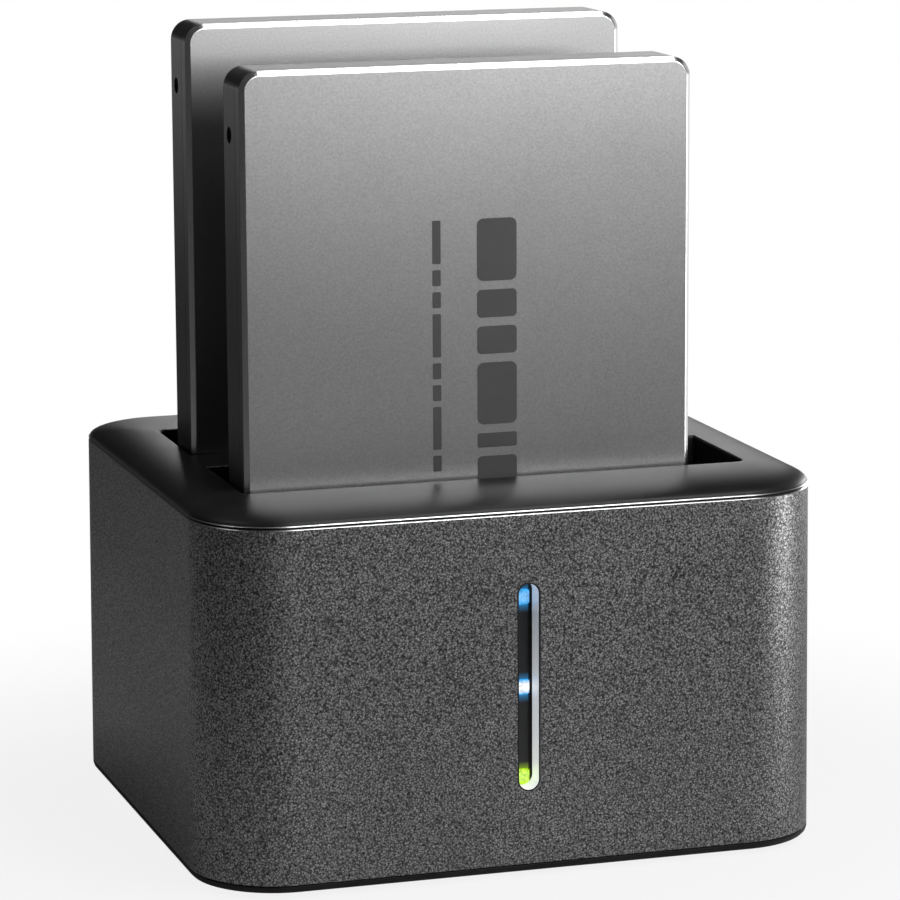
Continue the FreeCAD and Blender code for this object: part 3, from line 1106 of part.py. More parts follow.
doc.recompute()
os.makedirs("parts", exist_ok=True)
for item in doc.Objects:
    if "Invalid" in item.State or "Error" in item.State:
        raise RuntimeError("%s failed: %s" % (item.Name, item.State))
for item in PIECES:
    if item.Shape.isNull() or not item.Shape.isValid():
        raise RuntimeError(item.Label + " has no valid shape")
for item in PIECES:
    item.Shape.exportStep("parts/%s.step" % item.Label)
    print(item.Label, len(item.Shape.Solids), "solids", round(item.Shape.Volume, 1), item.Shape.BoundBox)
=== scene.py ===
"""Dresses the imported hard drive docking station: smooth shells, finishes, lights and the studio."""

import json
import math

import bmesh
import bpy
from bpy.props import FloatProperty, FloatVectorProperty, IntProperty, PointerProperty
from mathutils import Matrix, Vector


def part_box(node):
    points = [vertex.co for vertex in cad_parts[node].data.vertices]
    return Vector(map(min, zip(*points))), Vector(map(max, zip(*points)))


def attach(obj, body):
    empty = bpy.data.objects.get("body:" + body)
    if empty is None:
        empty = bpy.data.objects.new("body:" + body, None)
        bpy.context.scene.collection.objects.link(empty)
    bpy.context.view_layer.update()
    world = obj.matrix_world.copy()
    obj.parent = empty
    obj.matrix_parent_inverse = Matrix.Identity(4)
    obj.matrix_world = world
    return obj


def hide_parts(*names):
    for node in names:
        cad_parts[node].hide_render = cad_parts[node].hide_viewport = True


bl_info = {
    "name": "Drive Dock Looks",
    "version": (1, 0, 0),
    "blender": (4, 5, 0),
    "location": "3D View > Sidebar > Drive Dock",
    "description": "Rebuilds the visible shells of a two-bay drive dock and gives every piece its finish",
    "category": "Object",
}

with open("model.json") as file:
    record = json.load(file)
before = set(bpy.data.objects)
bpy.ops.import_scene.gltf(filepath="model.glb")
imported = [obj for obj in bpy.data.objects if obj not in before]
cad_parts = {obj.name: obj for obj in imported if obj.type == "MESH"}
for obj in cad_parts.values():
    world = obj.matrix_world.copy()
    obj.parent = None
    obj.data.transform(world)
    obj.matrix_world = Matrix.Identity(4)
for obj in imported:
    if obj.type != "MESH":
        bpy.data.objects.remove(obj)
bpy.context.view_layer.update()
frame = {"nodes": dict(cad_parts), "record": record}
NODES = frame["nodes"]
MM = 0.001
MICRON = 0.001 * MM
FORWARD = Matrix.Rotation(math.radians(90), 4, "X")
# How near, in metres, levels and points have to lie to count as one, here and in a CAD node's mesh
SAME_LEVEL = 1e-6
SAME_POINT = 1e-7
SAME_CAD_POINT = 2e-6
# Corner radius of a round end as a share of its width, a hair under one half so that the corners stay apart
ROUND_END = 0.4999
TRIM_END = 0.4995
WHITE = (1.0, 1.0, 1.0)
BLACK = (0.0, 0.0, 0.0)


# Sizes and colours that a user may change
def length(name, description, millimetres):
    """A length property whose default is given in millimetres."""
    return FloatProperty(name=name, description=description, default=millimetres * MM, min=0,
                         precision=5, unit="LENGTH", subtype="DISTANCE")


def colour(name, description, red, green, blue):
    """A colour property in linear values."""
    return FloatVectorProperty(name=name, description=description, default=(red, green, blue), min=0,
                               max=1, size=3, subtype="COLOR")


class DOCK_PG_sizes(bpy.types.PropertyGroup):
    """Sizes of the pieces that are modelled here."""
    wall_draft: length("Wall draft", "How far each side of the sleeve stands out at its foot", 0.35)
    corner_radius: length("Corner radius", "Upright corners at the top of the sleeve", 13)
    sleeve_wall: length("Sleeve wall", "Wall of the sleeve", 2.2)
    sleeve_edge: length("Sleeve edge", "Chamfer round the top of the sleeve", 0.2)
    bar_width: length("Bar width", "Width of the light bar's opening", 3.7)
    bar_height: length("Bar height", "Height of the light bar's opening", 32)
    bar_level: length("Bar level", "Middle of the light bar above the table", 29.05)
    trim_wall: length("Trim wall", "Wall of the bright trim in the light bar", 0.25)
    crown_rise: length("Crown rise", "Height of the bezel's rounded crown", 2.5)
    crown_corner: length("Crown corner", "Corner radius where the crown meets the slots", 1.5)
    slot_width: length("Slot width", "Width of a drive slot", 78.9)
    slot_depth: length("Slot depth", "Front to rear size of a slot", 22)
    bridge_width: length("Bridge width", "Land between the slots", 10)
    slot_edge: length("Slot edge", "Rounding of the slots' upper edges", 0.3)
    crown_lip: length("Crown lip", "Bright bevelled lip round the foot of the crown", 0.14)
    bay_wall: length("Bay wall", "Wall of the drive bays below the slots", 1.5)
    seam_depth: length("Seam depth", "How deep the groove under the crown runs in", 1)
    skirt_inset: length("Skirt inset", "Skirt behind the outside of the bezel", 2.35)
    skirt_wall: length("Skirt wall", "Wall of the bezel's skirt", 1.6)
    skirt_height: length("Skirt height", "Skirt below the top of the sleeve", 5.5)
    collar_wall: length("Collar wall", "Wall round each slot under the crown", 1.6)
    collar_drop: length("Collar drop", "Slot walls below the top of the sleeve", 2.5)
    trim_gap: length("Trim gap", "Clearance round the light bar's trim", 0.05)
    flange_thick: length("Flange", "Flange behind the light bar", 0.8)
    lens_corner: length("Lens corner", "Corners of a lamp's lens", 0.5)
    lens_edge: length("Lens edge", "Rounding round the front of a lamp's lens", 0.25)
    panel_lap: length("Panel lap", "Rim of the rear panel behind the sleeve", 1.5)
    drive_corner: length("Drive corner", "Corners of a drive's outline", 3)
    drive_bevel: length("Drive bevel", "Polished bevel round a drive's face", 0.6)
    drive_skin: length("Drive skin", "Sheet of a drive's cover", 0.85)
    hole_countersink: length("Hole countersink", "Chamfer round a drive's side holes", 0.35)
    corner_steps: IntProperty(name="Corner steps", description="Facets in each rounded corner", default=14,
                              min=4, max=40)
    crown_steps: IntProperty(name="Crown steps", description="Rings in the bezel's crown", default=18,
                             min=6, max=60)


class DOCK_PG_colours(bpy.types.PropertyGroup):
    """Base colours of the main finishes."""
    grain_dark: colour("Grain dark", "Sleeve, in the hollows of the grain", 0.010, 0.010, 0.0105)
    grain_light: colour("Grain light", "Sleeve, on the tops of the grain", 0.680, 0.680, 0.685)
    satin_black: colour("Satin black", "Bezel and base", 0.006, 0.006, 0.0063)
    blasted_silver: colour("Blasted silver", "Face of a drive", 0.47, 0.47, 0.472)
    print_grey: colour("Print grey", "Printed bars on a drive's face", 0.045, 0.045, 0.047)
    blue_light: colour("Blue light", "Upper and middle lamps", 0.035, 0.36, 0.80)
    green_light: colour("Green light", "Lower lamp", 0.50, 0.86, 0.010)


# Shader building
class Wire:
    """A socket of a shader node, so that shader maths reads as plain expressions."""

    def __init__(self, finish, socket):
        self.finish = finish
        self.socket = socket

    def __add__(self, other):
        return self.finish.maths("ADD", self, other)

    def __radd__(self, other):
        return self.finish.maths("ADD", other, self)

    def __sub__(self, other):
        return self.finish.maths("SUBTRACT", self, other)

    def __rsub__(self, other):
        return self.finish.maths("SUBTRACT", other, self)

    def __mul__(self, other):
        return self.finish.maths("MULTIPLY", self, other)

    def __rmul__(self, other):
        return self.finish.maths("MULTIPLY", other, self)


class Finish:
    """A material, or the world, made of nodes."""

    def __init__(self, name, family="materials"):
        self.material = getattr(bpy.data, family).new(name)
        self.material.use_nodes = True
        self.tree = self.material.node_tree
        self.tree.nodes.clear()

    def node(self, kind, settings, sockets, out=0):
        """Makes one node: its settings first, then the values or links of its sockets."""
        made = self.tree.nodes.new("ShaderNode" + kind)
        for key, value in settings.items():
            if key == "stops":
                ramp = made.color_ramp
                while len(ramp.elements) < len(value):
                    ramp.elements.new(1)
                for element, (position, shade) in zip(ramp.elements, value):
                    element.position = position
                    element.color = (*shade, 1) if hasattr(shade, "__len__") else (shade, shade, shade, 1)
            else:
                setattr(made, key, value)
        for key, value in sockets.items():
            if isinstance(value, Wire):
                self.tree.links.new(value.socket, made.inputs[key])
            elif hasattr(value, "__len__") and len(value) == 3 and made.inputs[key].type == "RGBA":
                made.inputs[key].default_value = (*value, 1)
            else:
                made.inputs[key].default_value = value
        return Wire(self, made.outputs[out]) if made.outputs else None

    def maths(self, operation, first, second=0.0):
        """One step of maths on sockets or numbers."""
        return self.node("Math", {"operation": operation}, {0: first, 1: second})

    def place(self):
        """Object coordinates, which are the dock's own frame."""
        return self.node("TexCoord", {}, {}, "Object")

    def axis(self, name, vector=None):
        """One part of a vector or colour, and of the place where none is given."""
        return self.node("SeparateXYZ", {}, {0: vector or self.place()}, name)

    def cells(self, millimetres, out):
        """Irregular cells about so many millimetres across: their colour, or how far their middle is."""
        return self.node("TexVoronoi", {}, {"Vector": self.place(), "Scale": 1 / (millimetres * MM)}, out)

    def noise(self, millimetres, detail=2.0, roughness=0.5, stretch=(1, 1, 1)):
        """Noise whose lumps are about so many millimetres across."""
        where = self.node("Mapping", {}, {"Vector": self.place(), "Scale": stretch})
        return self.node("TexNoise", {}, {"Vector": where, "Scale": 1 / (millimetres * MM),
                                          "Detail": detail, "Roughness": roughness})

    def ramp(self, factor, stops, interpolation="LINEAR"):
        """Numbers or colours between stops."""
        made = self.node("ValToRGB", {"stops": stops}, {"Fac": factor})
        made.socket.node.color_ramp.interpolation = interpolation
        return made

    def blend(self, factor, first, second, kind="MIX"):
        """Mixes two colours, or adds or multiplies them."""
        return self.node("Mix", {"data_type": "RGBA", "blend_type": kind},
                         {0: factor, 6: first, 7: second}, 2)

    def fade(self, factor, start, end, first, second):
        """Goes from one colour to another while the factor goes from start to end."""
        return self.blend(self.ramp(factor, ((start, 0.0), (end, 1.0))), first, second)

    def bump(self, height, microns, strength=1.0):
        """A relief so many thousandths of a millimetre deep."""
        return self.node("Bump", {}, {"Height": height, "Distance": microns * MICRON, "Strength": strength})

    def surface(self, **sockets):
        """The shader itself, joined to the output."""
        named = {key.replace("_", " "): value for key, value in sockets.items()}
        self.node("OutputMaterial", {}, {"Surface": self.node("BsdfPrincipled", {}, named)})
        return self.material


def mix(first, second, share):
    """Two colours mixed in numbers."""
    return tuple(a + (b - a) * share for a, b in zip(first, second))


# Finishes, one for each of the record's material slots
def grained_grey(name, colours):
    """Spark-eroded grain with a dull metallic sheen, as on the sleeve."""
    finish = Finish(name)
    fleck = finish.axis("X", finish.cells(0.13, "Color"))
    pit = finish.cells(0.32, "Distance")
    grain = 0.5 * fleck + 0.9 * (0.75 - pit)
    fine = finish.noise(0.30, 1.0)
    cloud = finish.noise(14, 2.0)
    spots = finish.ramp(grain, ((0.10, 0.04), (0.55, 0.30), (0.95, 1.0)))
    tone = finish.blend(spots, tuple(colours.grain_dark), tuple(colours.grain_light))
    tone = finish.blend(1.0, tone, finish.ramp(cloud, ((0.3, 0.90), (0.7, 1.0))), "MULTIPLY")
    rough = 0.28 + 0.10 * fine + 0.04 * cloud
    relief = finish.bump(0.5 * grain + fine, 30, 1.0)
    return finish.surface(Base_Color=tone, Metallic=0.85, Roughness=rough, Normal=relief)


def satin_black(name, colours):
    """Black plastic with a fine, even sheen, as on the bezel."""
    finish = Finish(name)
    fine = finish.noise(0.22, 2.0, 0.6)
    cloud = finish.noise(9, 3.0)
    tone = finish.fade(cloud, 0.35, 0.7, tuple(colours.satin_black),
                       mix(colours.satin_black, (0.03, 0.03, 0.03), 0.35))
    rough = 0.30 + 0.10 * fine + 0.08 * cloud
    return finish.surface(Base_Color=tone, Roughness=rough, Specular_IOR_Level=0.25,
                          Normal=finish.bump(fine, 12, 0.35))


def moulded(tone, rough, lump, relief):
    """A moulded plastic or rubber of one colour, with its own grain and roughness."""
    def make(name, colours):
        finish = Finish(name)
        fine = finish.noise(lump, 2.0, 0.6)
        cloud = finish.noise(6, 3.0)
        shade = finish.fade(cloud, 0.3, 0.75, tone, mix(tone, (0.5, 0.5, 0.5), 0.03))
        return finish.surface(Base_Color=shade, Roughness=rough - 0.05 + 0.14 * fine,
                              Normal=finish.bump(fine, relief, 0.5))
    return make


def metal(tone, rough, stretch, relief):
    """A bare or plated metal with brushed or drawn marks and a little tarnish."""
    def make(name, colours):
        finish = Finish(name)
        marks = finish.noise(0.5, 3.0, 0.6, stretch)
        cloud = finish.noise(3, 3.0)
        shade = finish.fade(cloud, 0.35, 0.8, tone, mix(tone, (0.1, 0.09, 0.08), 0.25))
        return finish.surface(Base_Color=shade, Metallic=1.0, Roughness=rough - 0.06 + 0.16 * marks,
                              Normal=finish.bump(marks, relief, 0.4))
    return make


def board(mask, copper):
    """A circuit board: solder mask over faint copper tracks."""
    def make(name, colours):
        finish = Finish(name)
        where = finish.node("Mapping", {}, {"Vector": finish.place(), "Scale": (420, 420, 420)})
        cells = finish.node("TexBrick", {"offset": 0.35, "squash": 1.6, "squash_frequency": 3},
                            {"Vector": where, "Scale": 1.0, "Mortar Size": 0.07, "Mortar Smooth": 0.1,
                             "Brick Width": 1.1, "Row Height": 0.42}, "Fac")
        tone = finish.blend(cells, mask, copper)
        rough = 0.34 + 0.12 * finish.noise(0.8, 2.0)
        return finish.surface(Base_Color=tone, Roughness=rough, Normal=finish.bump(cells, 30, 0.4))
    return make


def lamp_light(finish, colours, cores, reach):
    """The lamps' light along the bar: a bright core at each lamp, its own colour round it, then dark."""
    level = finish.axis("Z")
    light = BLACK
    tints = (colours.blue_light, colours.blue_light, colours.green_light)
    for lamp, tint, core in zip(("upper", "middle", "lower"), tints, cores):
        low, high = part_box(lamp + "_light_lens")
        off = finish.maths("ABSOLUTE", level - (low.z + high.z) / 2) * (1 / reach)
        shade = finish.ramp(off, (
            (0.0, mix(tint, WHITE, core)), (0.20, mix(tint, WHITE, core * 0.8)),
            (0.42, tuple(tint)), (0.62, mix(tint, BLACK, 0.55)), (1.0, BLACK)))
        light = finish.blend(1.0, light, shade, "ADD")
    return light


def lit_lens(name, colours):
    """A clear lens with its lamp behind it, white-hot in the middle one."""
    finish = Finish(name)
    grain = finish.noise(0.45, 2.0)
    mottle = finish.ramp(grain, ((0.35, 0.72), (0.65, 1.25)))
    light = finish.blend(1.0, lamp_light(finish, colours, (0.15, 1.0, 0.10), 2.6 * MM), mottle, "MULTIPLY")
    return finish.surface(Base_Color=(0.02, 0.03, 0.04), Roughness=0.18 + 0.1 * grain,
                          Emission_Color=light, Emission_Strength=1.15)


def smoked_window(name, colours):
    """Smoked plastic with each lamp's light painted on it as a glow near the lamp, and painted shade, black,
    at its sides.
    """
    finish = Finish(name)
    haze = finish.noise(0.7, 2.0)
    # Painted shade: the window is near black along its sides, next to the trim's walls. Only the middle keeps
    # its own tone and the painted glow.
    across = finish.maths("ABSOLUTE", finish.axis("X")) * (1 / (2 * MM))
    face = finish.ramp(across, ((0.60, 1.0), (0.68, 0.0)))
    tone = finish.blend(face, (0.0015, 0.0015, 0.0015), (0.011, 0.011, 0.0115))
    # Painted light: the lamps' light falling on the window, set as emission in its middle.
    light = finish.blend(face, BLACK, lamp_light(finish, colours, (0.0, 0.6, 0.0), 2.3 * MM))
    return finish.surface(Base_Color=tone, Roughness=0.38 + 0.1 * haze, Emission_Color=light,
                          Emission_Strength=0.6, Normal=finish.bump(haze, 3, 0.3))


def trim_with_painted_light(name, colours):
    """A pale trim with painted light on its walls, set as a glow, and a dark joint near its foot."""
    finish = Finish(name)
    haze = finish.noise(0.9, 3.0, 0.6, (1, 1, 4))
    tone = finish.blend(haze, (0.86, 0.87, 0.88), (0.74, 0.75, 0.76))
    low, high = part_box("light_bar_trim")
    share = (finish.axis("Z") - low.z) * (1 / (high.z - low.z))
    # Painted light: the brightness that light gives the trim's inner walls, set as emission. It is bright at
    # the foot, dim near the top and lighter again at the top end.
    painted_wall_light = finish.ramp(share, (
        (0.0, (0.70, 0.71, 0.70)), (0.45, (0.42, 0.43, 0.45)),
        (0.80, (0.16, 0.17, 0.19)), (1.0, (0.40, 0.42, 0.45))))
    joint = finish.ramp(share, ((0.030, 1.0), (0.036, 0.0), (0.047, 0.0), (0.053, 1.0)))
    tone, painted_wall_light = (finish.blend(joint, (0.01, 0.01, 0.01), shade) for shade in (tone, painted_wall_light))
    return finish.surface(Base_Color=tone, Metallic=0.15, Roughness=0.34 + 0.12 * haze, Emission_Color=painted_wall_light,
                          Emission_Strength=0.6, Normal=finish.bump(haze, 5, 0.3))


def blasted_silver(name, colours):
    """Blasted and anodised metal with a soft sheen, as on a drive's face."""
    finish = Finish(name)
    grain = finish.noise(0.30, 3.0, 0.65)
    cloud = finish.noise(18, 2.0)
    silver = tuple(colours.blasted_silver)
    tone = finish.fade(grain, 0.3, 0.7, mix(silver, BLACK, 0.14), mix(silver, WHITE, 0.10))
    rough = 0.28 + 0.06 * grain + 0.03 * cloud
    return finish.surface(Base_Color=tone, Metallic=1.0, Roughness=rough, Normal=finish.bump(grain, 18, 0.6))


def cut_metal(light, dark, rough, stretch):
    """Metal that is cut or polished bright after the surface beside it is finished."""
    def make(name, colours):
        finish = Finish(name)
        marks = finish.noise(0.4, 2.0, 0.5, stretch)
        return finish.surface(Base_Color=finish.blend(marks, light, dark), Metallic=1.0,
                              Roughness=rough + 0.10 * marks, Normal=finish.bump(marks, 4, 0.25))
    return make


def printed_grey(name, colours):
    """The ink of the printed bars."""
    return moulded(tuple(colours.print_grey), 0.5, 0.15, 8)(name, colours)


FINISHES = {
    "grained_grey": grained_grey,
    "satin_black": satin_black,
    "inner_black": moulded((0.022, 0.022, 0.023), 0.55, 0.3, 25),
    "foot_rubber": moulded((0.03, 0.03, 0.03), 0.80, 0.25, 40),
    "zinc_steel": metal((0.62, 0.62, 0.64), 0.30, (1, 1, 6), 8),
    "black_steel": metal((0.10, 0.10, 0.105), 0.38, (1, 1, 6), 8),
    "gold_contact": metal((0.83, 0.62, 0.28), 0.25, (1, 1, 5), 6),
    "board_green": board((0.010, 0.085, 0.035), (0.03, 0.17, 0.07)),
    "board_black": board((0.010, 0.011, 0.013), (0.035, 0.036, 0.038)),
    "chip_black": moulded((0.018, 0.018, 0.020), 0.50, 0.12, 12),
    "coil_grey": moulded((0.13, 0.13, 0.14), 0.70, 0.2, 30),
    "capacitor_can": metal((0.74, 0.75, 0.77), 0.28, (1, 1, 8), 8),
    "bright_chrome": trim_with_painted_light,
    "gloss_black": moulded((0.006, 0.006, 0.007), 0.14, 0.5, 4),
    "blue_lens": lit_lens,
    "green_lens": lit_lens,
    "light_chip": moulded((0.75, 0.74, 0.60), 0.40, 0.2, 5),
    "port_steel": metal((0.70, 0.70, 0.71), 0.26, (1, 7, 1), 10),
    "port_blue": moulded((0.02, 0.12, 0.52), 0.35, 0.2, 6),
    "drive_silver": blasted_silver,
    "drive_black": moulded((0.007, 0.007, 0.0075), 0.34, 0.18, 10),
    "polished_bevel": cut_metal((0.80, 0.80, 0.81), (0.66, 0.66, 0.67), 0.18, (1, 6, 1)),
    "cut_edge": cut_metal((0.46, 0.46, 0.465), (0.36, 0.36, 0.365), 0.24, (1, 1, 1)),
    "smoked_window": smoked_window,
    "printed_grey": printed_grey,
}


def finish_of(slot, colours):
    """The material of one slot, made the first time it is asked for."""
    name = slot + "_finish"
    return bpy.data.materials.get(name) or FINISHES[slot](name, colours)


# Mesh building
def verts_of(items):
    """The points among what an extrusion made."""
    return [item for item in items if isinstance(item, bmesh.types.BMVert)]


def face_of(items):
    """The first face among what an extrusion made."""
    return next(item for item in items if isinstance(item, bmesh.types.BMFace))


def rounded_face(bm, width, height, radius, steps, centre=(0, 0), level=0):
    """A flat face with rounded corners."""
    verts = bmesh.ops.create_grid(bm, x_segments=1, y_segments=1, size=0.5)["verts"]
    bmesh.ops.scale(bm, verts=verts, vec=(width, height, 1))
    bmesh.ops.translate(bm, verts=verts, vec=(*centre, level))
    made = bmesh.ops.bevel(bm, geom=verts, offset=radius, offset_type="OFFSET", segments=steps, profile=0.5,
                           affect="VERTICES", material=-1)
    return next(face for face in made["verts"][0].link_faces)


def raise_face(bm, face, inward, up):
    """Steps a face's outline inward and moves it up, and gives the band of faces round it back."""
    band = bmesh.ops.inset_region(bm, faces=[face], thickness=inward, use_even_offset=True,
                                  use_boundary=True)["faces"]
    bmesh.ops.translate(bm, verts=face.verts, vec=(0, 0, up))
    return band


def push_face(bm, face, up):
    """Extrudes a face straight up or down and gives the moved face back."""
    moved = face_of(bmesh.ops.extrude_face_region(bm, geom=[face])["geom"])
    bmesh.ops.translate(bm, verts=moved.verts, vec=(0, 0, up))
    if face.is_valid:
        bmesh.ops.delete(bm, geom=[face], context="FACES_ONLY")
    return moved


def push_closed(bm, faces, up):
    """Extrudes faces into a closed solid and gives one of the moved faces back."""
    made = bmesh.ops.extrude_face_region(bm, geom=faces, use_keep_orig=True)["geom"]
    bmesh.ops.translate(bm, verts=verts_of(made), vec=(0, 0, up))
    bmesh.ops.recalc_face_normals(bm, faces=bm.faces)
    return face_of(made)


def open_face(bm, face):
    """Takes a face away and gives the edges round the opening back."""
    edges = list(face.edges)
    bmesh.ops.delete(bm, geom=[face], context="FACES_ONLY")
    return edges


def reshape(bm, face, old, new):
    """Gives a rounded face another width, depth, corner radius and middle, each as (w, d, r, y)."""
    for across in (-1, 1):
        for along in (-1, 1):
            corner = [v for v in face.verts if v.co.x * across > 0 and (v.co.y - old[3]) * along > 0]
            before, after = (Vector((across * (shape[0] / 2 - shape[2]),
                                     shape[3] + along * (shape[1] / 2 - shape[2]), 0))
                             for shape in (old, new))
            bmesh.ops.scale(bm, verts=corner, vec=(new[2] / old[2], new[2] / old[2], 1),
                            space=Matrix.Translation(-before))
            bmesh.ops.translate(bm, verts=corner, vec=after - before)


def spread_edges(bm, edges, middle, factors, up):
    """Extrudes a loop of edges, scales it about a middle and moves it up, and gives the new loop back."""
    made = bmesh.ops.extrude_edge_only(bm, edges=edges)["geom"]
    verts = verts_of(made)
    bmesh.ops.scale(bm, verts=verts, vec=factors, space=Matrix.Translation(Vector(middle)).inverted())
    bmesh.ops.translate(bm, verts=verts, vec=(0, 0, up))
    return [item for item in made if isinstance(item, bmesh.types.BMEdge) and item.is_boundary]


def close_up(bm):
    """Merges doubles and turns all faces outwards."""
    bmesh.ops.remove_doubles(bm, verts=bm.verts, dist=SAME_POINT)
    bmesh.ops.recalc_face_normals(bm, faces=bm.faces)
    bm.normal_update()


def stand_up(bm, x, y, z):
    """Turns a piece that was made lying on its back upright, facing the front, and moves it into place."""
    bmesh.ops.transform(bm, matrix=Matrix.Translation((x, y, z)) @ FORWARD, verts=bm.verts)


def is_level(edge, level):
    """Whether an edge lies at a level."""
    return all(abs(vert.co.z - level) < SAME_LEVEL for vert in edge.verts)


def beside_wall(edge, slot=None):
    """Whether an edge borders an upright face, with this finish where one is given."""
    return any(abs(face.normal.z) < 0.1 and slot in (None, face.material_index) for face in edge.link_faces)


def carved(bm, cutters):
    """The solid with closed cutters taken out of it."""
    things = []
    for part in (bm, cutters):
        mesh = bpy.data.meshes.new("carving")
        part.to_mesh(mesh)
        part.free()
        things.append(bpy.data.objects.new("carving", mesh))
        bpy.context.scene.collection.objects.link(things[-1])
    modifier = things[0].modifiers.new("cut", "BOOLEAN")
    modifier.operation = "DIFFERENCE"
    modifier.solver = "EXACT"
    modifier.object = things[1]
    bpy.context.view_layer.update()
    graph = bpy.context.evaluated_depsgraph_get()
    left = bmesh.new()
    left.from_mesh(things[0].evaluated_get(graph).data)
    for thing in things:
        mesh = thing.data
        bpy.data.objects.remove(thing)
        bpy.data.meshes.remove(mesh)
    return left


def is_bevelled(face):
    """Whether a face slopes upwards, as a chamfer between a wall and a top does."""
    return 0.3 < face.normal.z < 0.9


def ease(bm, wanted, width, steps=2):
    """Rounds the edges that a test picks, and gives the new faces back."""
    edges = [edge for edge in bm.edges if wanted(edge)]
    if not edges:
        raise RuntimeError("no edge was found to round")
    return bmesh.ops.bevel(bm, geom=edges, offset=width, offset_type="OFFSET", segments=steps, profile=0.5,
                           affect="EDGES", clamp_overlap=True, material=-1)["faces"]


def finish_piece(name, bm, slots, colours, sharp=32):
    """Makes the object with its finishes, shaded smooth up to an angle in degrees."""
    mesh = bpy.data.meshes.new(name)
    bm.to_mesh(mesh)
    bm.free()
    mesh.shade_smooth()
    mesh.set_sharp_from_angle(angle=math.radians(sharp))
    piece = bpy.data.objects.new(name, mesh)
    bpy.context.scene.collection.objects.link(piece)
    for slot in slots:
        mesh.materials.append(finish_of(slot, colours))
    even = piece.modifiers.new("even shading", "WEIGHTED_NORMAL")
    even.keep_sharp = True
    return piece


def stands_for(piece, body, node):
    """Rides a piece on its body in place of a CAD node."""
    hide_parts(node)
    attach(piece, body)


def side_hole_rim(edge):
    """Whether an edge is on the rim of a small hole in a left or right side."""
    flat = [abs(face.normal.x) > 0.99 for face in edge.link_faces]
    return len(flat) == 2 and flat[0] != flat[1] and edge.calc_length() < 1.2 * MM


def softened(name, node, body, slot, width, colours, countersink=0.0):
    """A merged copy of a CAD node with its hard edges rounded by so many millimetres."""
    bm = bmesh.new()
    bm.from_mesh(NODES[node].data)
    bmesh.ops.remove_doubles(bm, verts=bm.verts, dist=SAME_CAD_POINT)
    bmesh.ops.dissolve_limit(bm, angle_limit=math.radians(0.5), verts=bm.verts, edges=bm.edges)
    if countersink:
        bm.normal_update()
        ease(bm, side_hole_rim, countersink, 1)
    piece = finish_piece(name, bm, [slot], colours, 30)
    rounding = piece.modifiers.new("rounded edges", "BEVEL")
    rounding.width = width * MM
    rounding.segments = 2
    rounding.limit_method = "ANGLE"
    rounding.angle_limit = math.radians(40)
    rounding.use_clamp_overlap = True
    piece.modifiers.move(1, 0)
    stands_for(piece, body, node)
    return piece


# Operators, one for each piece or group of like pieces
class DockOperator:
    """What every operator of this file shares."""
    bl_options = {"REGISTER", "UNDO"}

    def execute(self, context):
        self.make(context.scene.dock_sizes, context.scene.dock_colours)
        return {"FINISHED"}


class DOCK_OT_sleeve(DockOperator, bpy.types.Operator):
    """Builds the grained sleeve with its light bar opening and its rear opening"""
    bl_idname = "dock.sleeve"
    bl_label = "Grained sleeve"
    cut, window_corner = 8 * MM, 1 * MM

    def make(self, sizes, colours):
        low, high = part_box("sleeve")
        bm = bmesh.new()
        face = rounded_face(bm, high.x - low.x, high.y - low.y, sizes.corner_radius + sizes.wall_draft,
                            sizes.corner_steps, level=low.z)
        raise_face(bm, face, sizes.wall_draft, high.z - low.z - sizes.sleeve_edge)
        raise_face(bm, face, sizes.sleeve_edge, sizes.sleeve_edge)
        raise_face(bm, face, sizes.sleeve_wall - sizes.sleeve_edge, 0)
        open_face(bm, push_face(bm, face, low.z - high.z))
        bmesh.ops.bridge_loops(bm, edges=[edge for edge in bm.edges if edge.is_boundary])
        close_up(bm)
        bm = carved(bm, self.openings(sizes, low, high))
        bm.normal_update()
        for face in bm.faces:
            face.material_index = int(is_bevelled(face))
        piece = finish_piece("grained_sleeve", bm, ["grained_grey", "cut_edge"], colours)
        stands_for(piece, "dock", "sleeve")

    def openings(self, sizes, low, high):
        """The light bar's opening and the rear panel's, as solids to cut with."""
        bm, rear = bmesh.new(), bmesh.new()
        front = rounded_face(bm, sizes.bar_width, sizes.bar_height, sizes.bar_width * ROUND_END,
                             2 * sizes.corner_steps)
        push_closed(bm, [front], self.cut)
        stand_up(bm, 0, low.y + self.cut / 2, sizes.bar_level)
        panel_low, panel_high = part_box("rear_panel")
        window = rounded_face(rear, panel_high.x - panel_low.x - 2 * sizes.panel_lap,
                              panel_high.z - panel_low.z - 2 * sizes.panel_lap, self.window_corner, 4)
        push_closed(rear, [window], self.cut)
        stand_up(rear, 0, high.y + self.cut / 2, (panel_low.z + panel_high.z) / 2)
        scrap = bpy.data.meshes.new("rear hole")
        rear.to_mesh(scrap)
        rear.free()
        bm.from_mesh(scrap)
        bpy.data.meshes.remove(scrap)
        bmesh.ops.recalc_face_normals(bm, faces=bm.faces)
        return bm


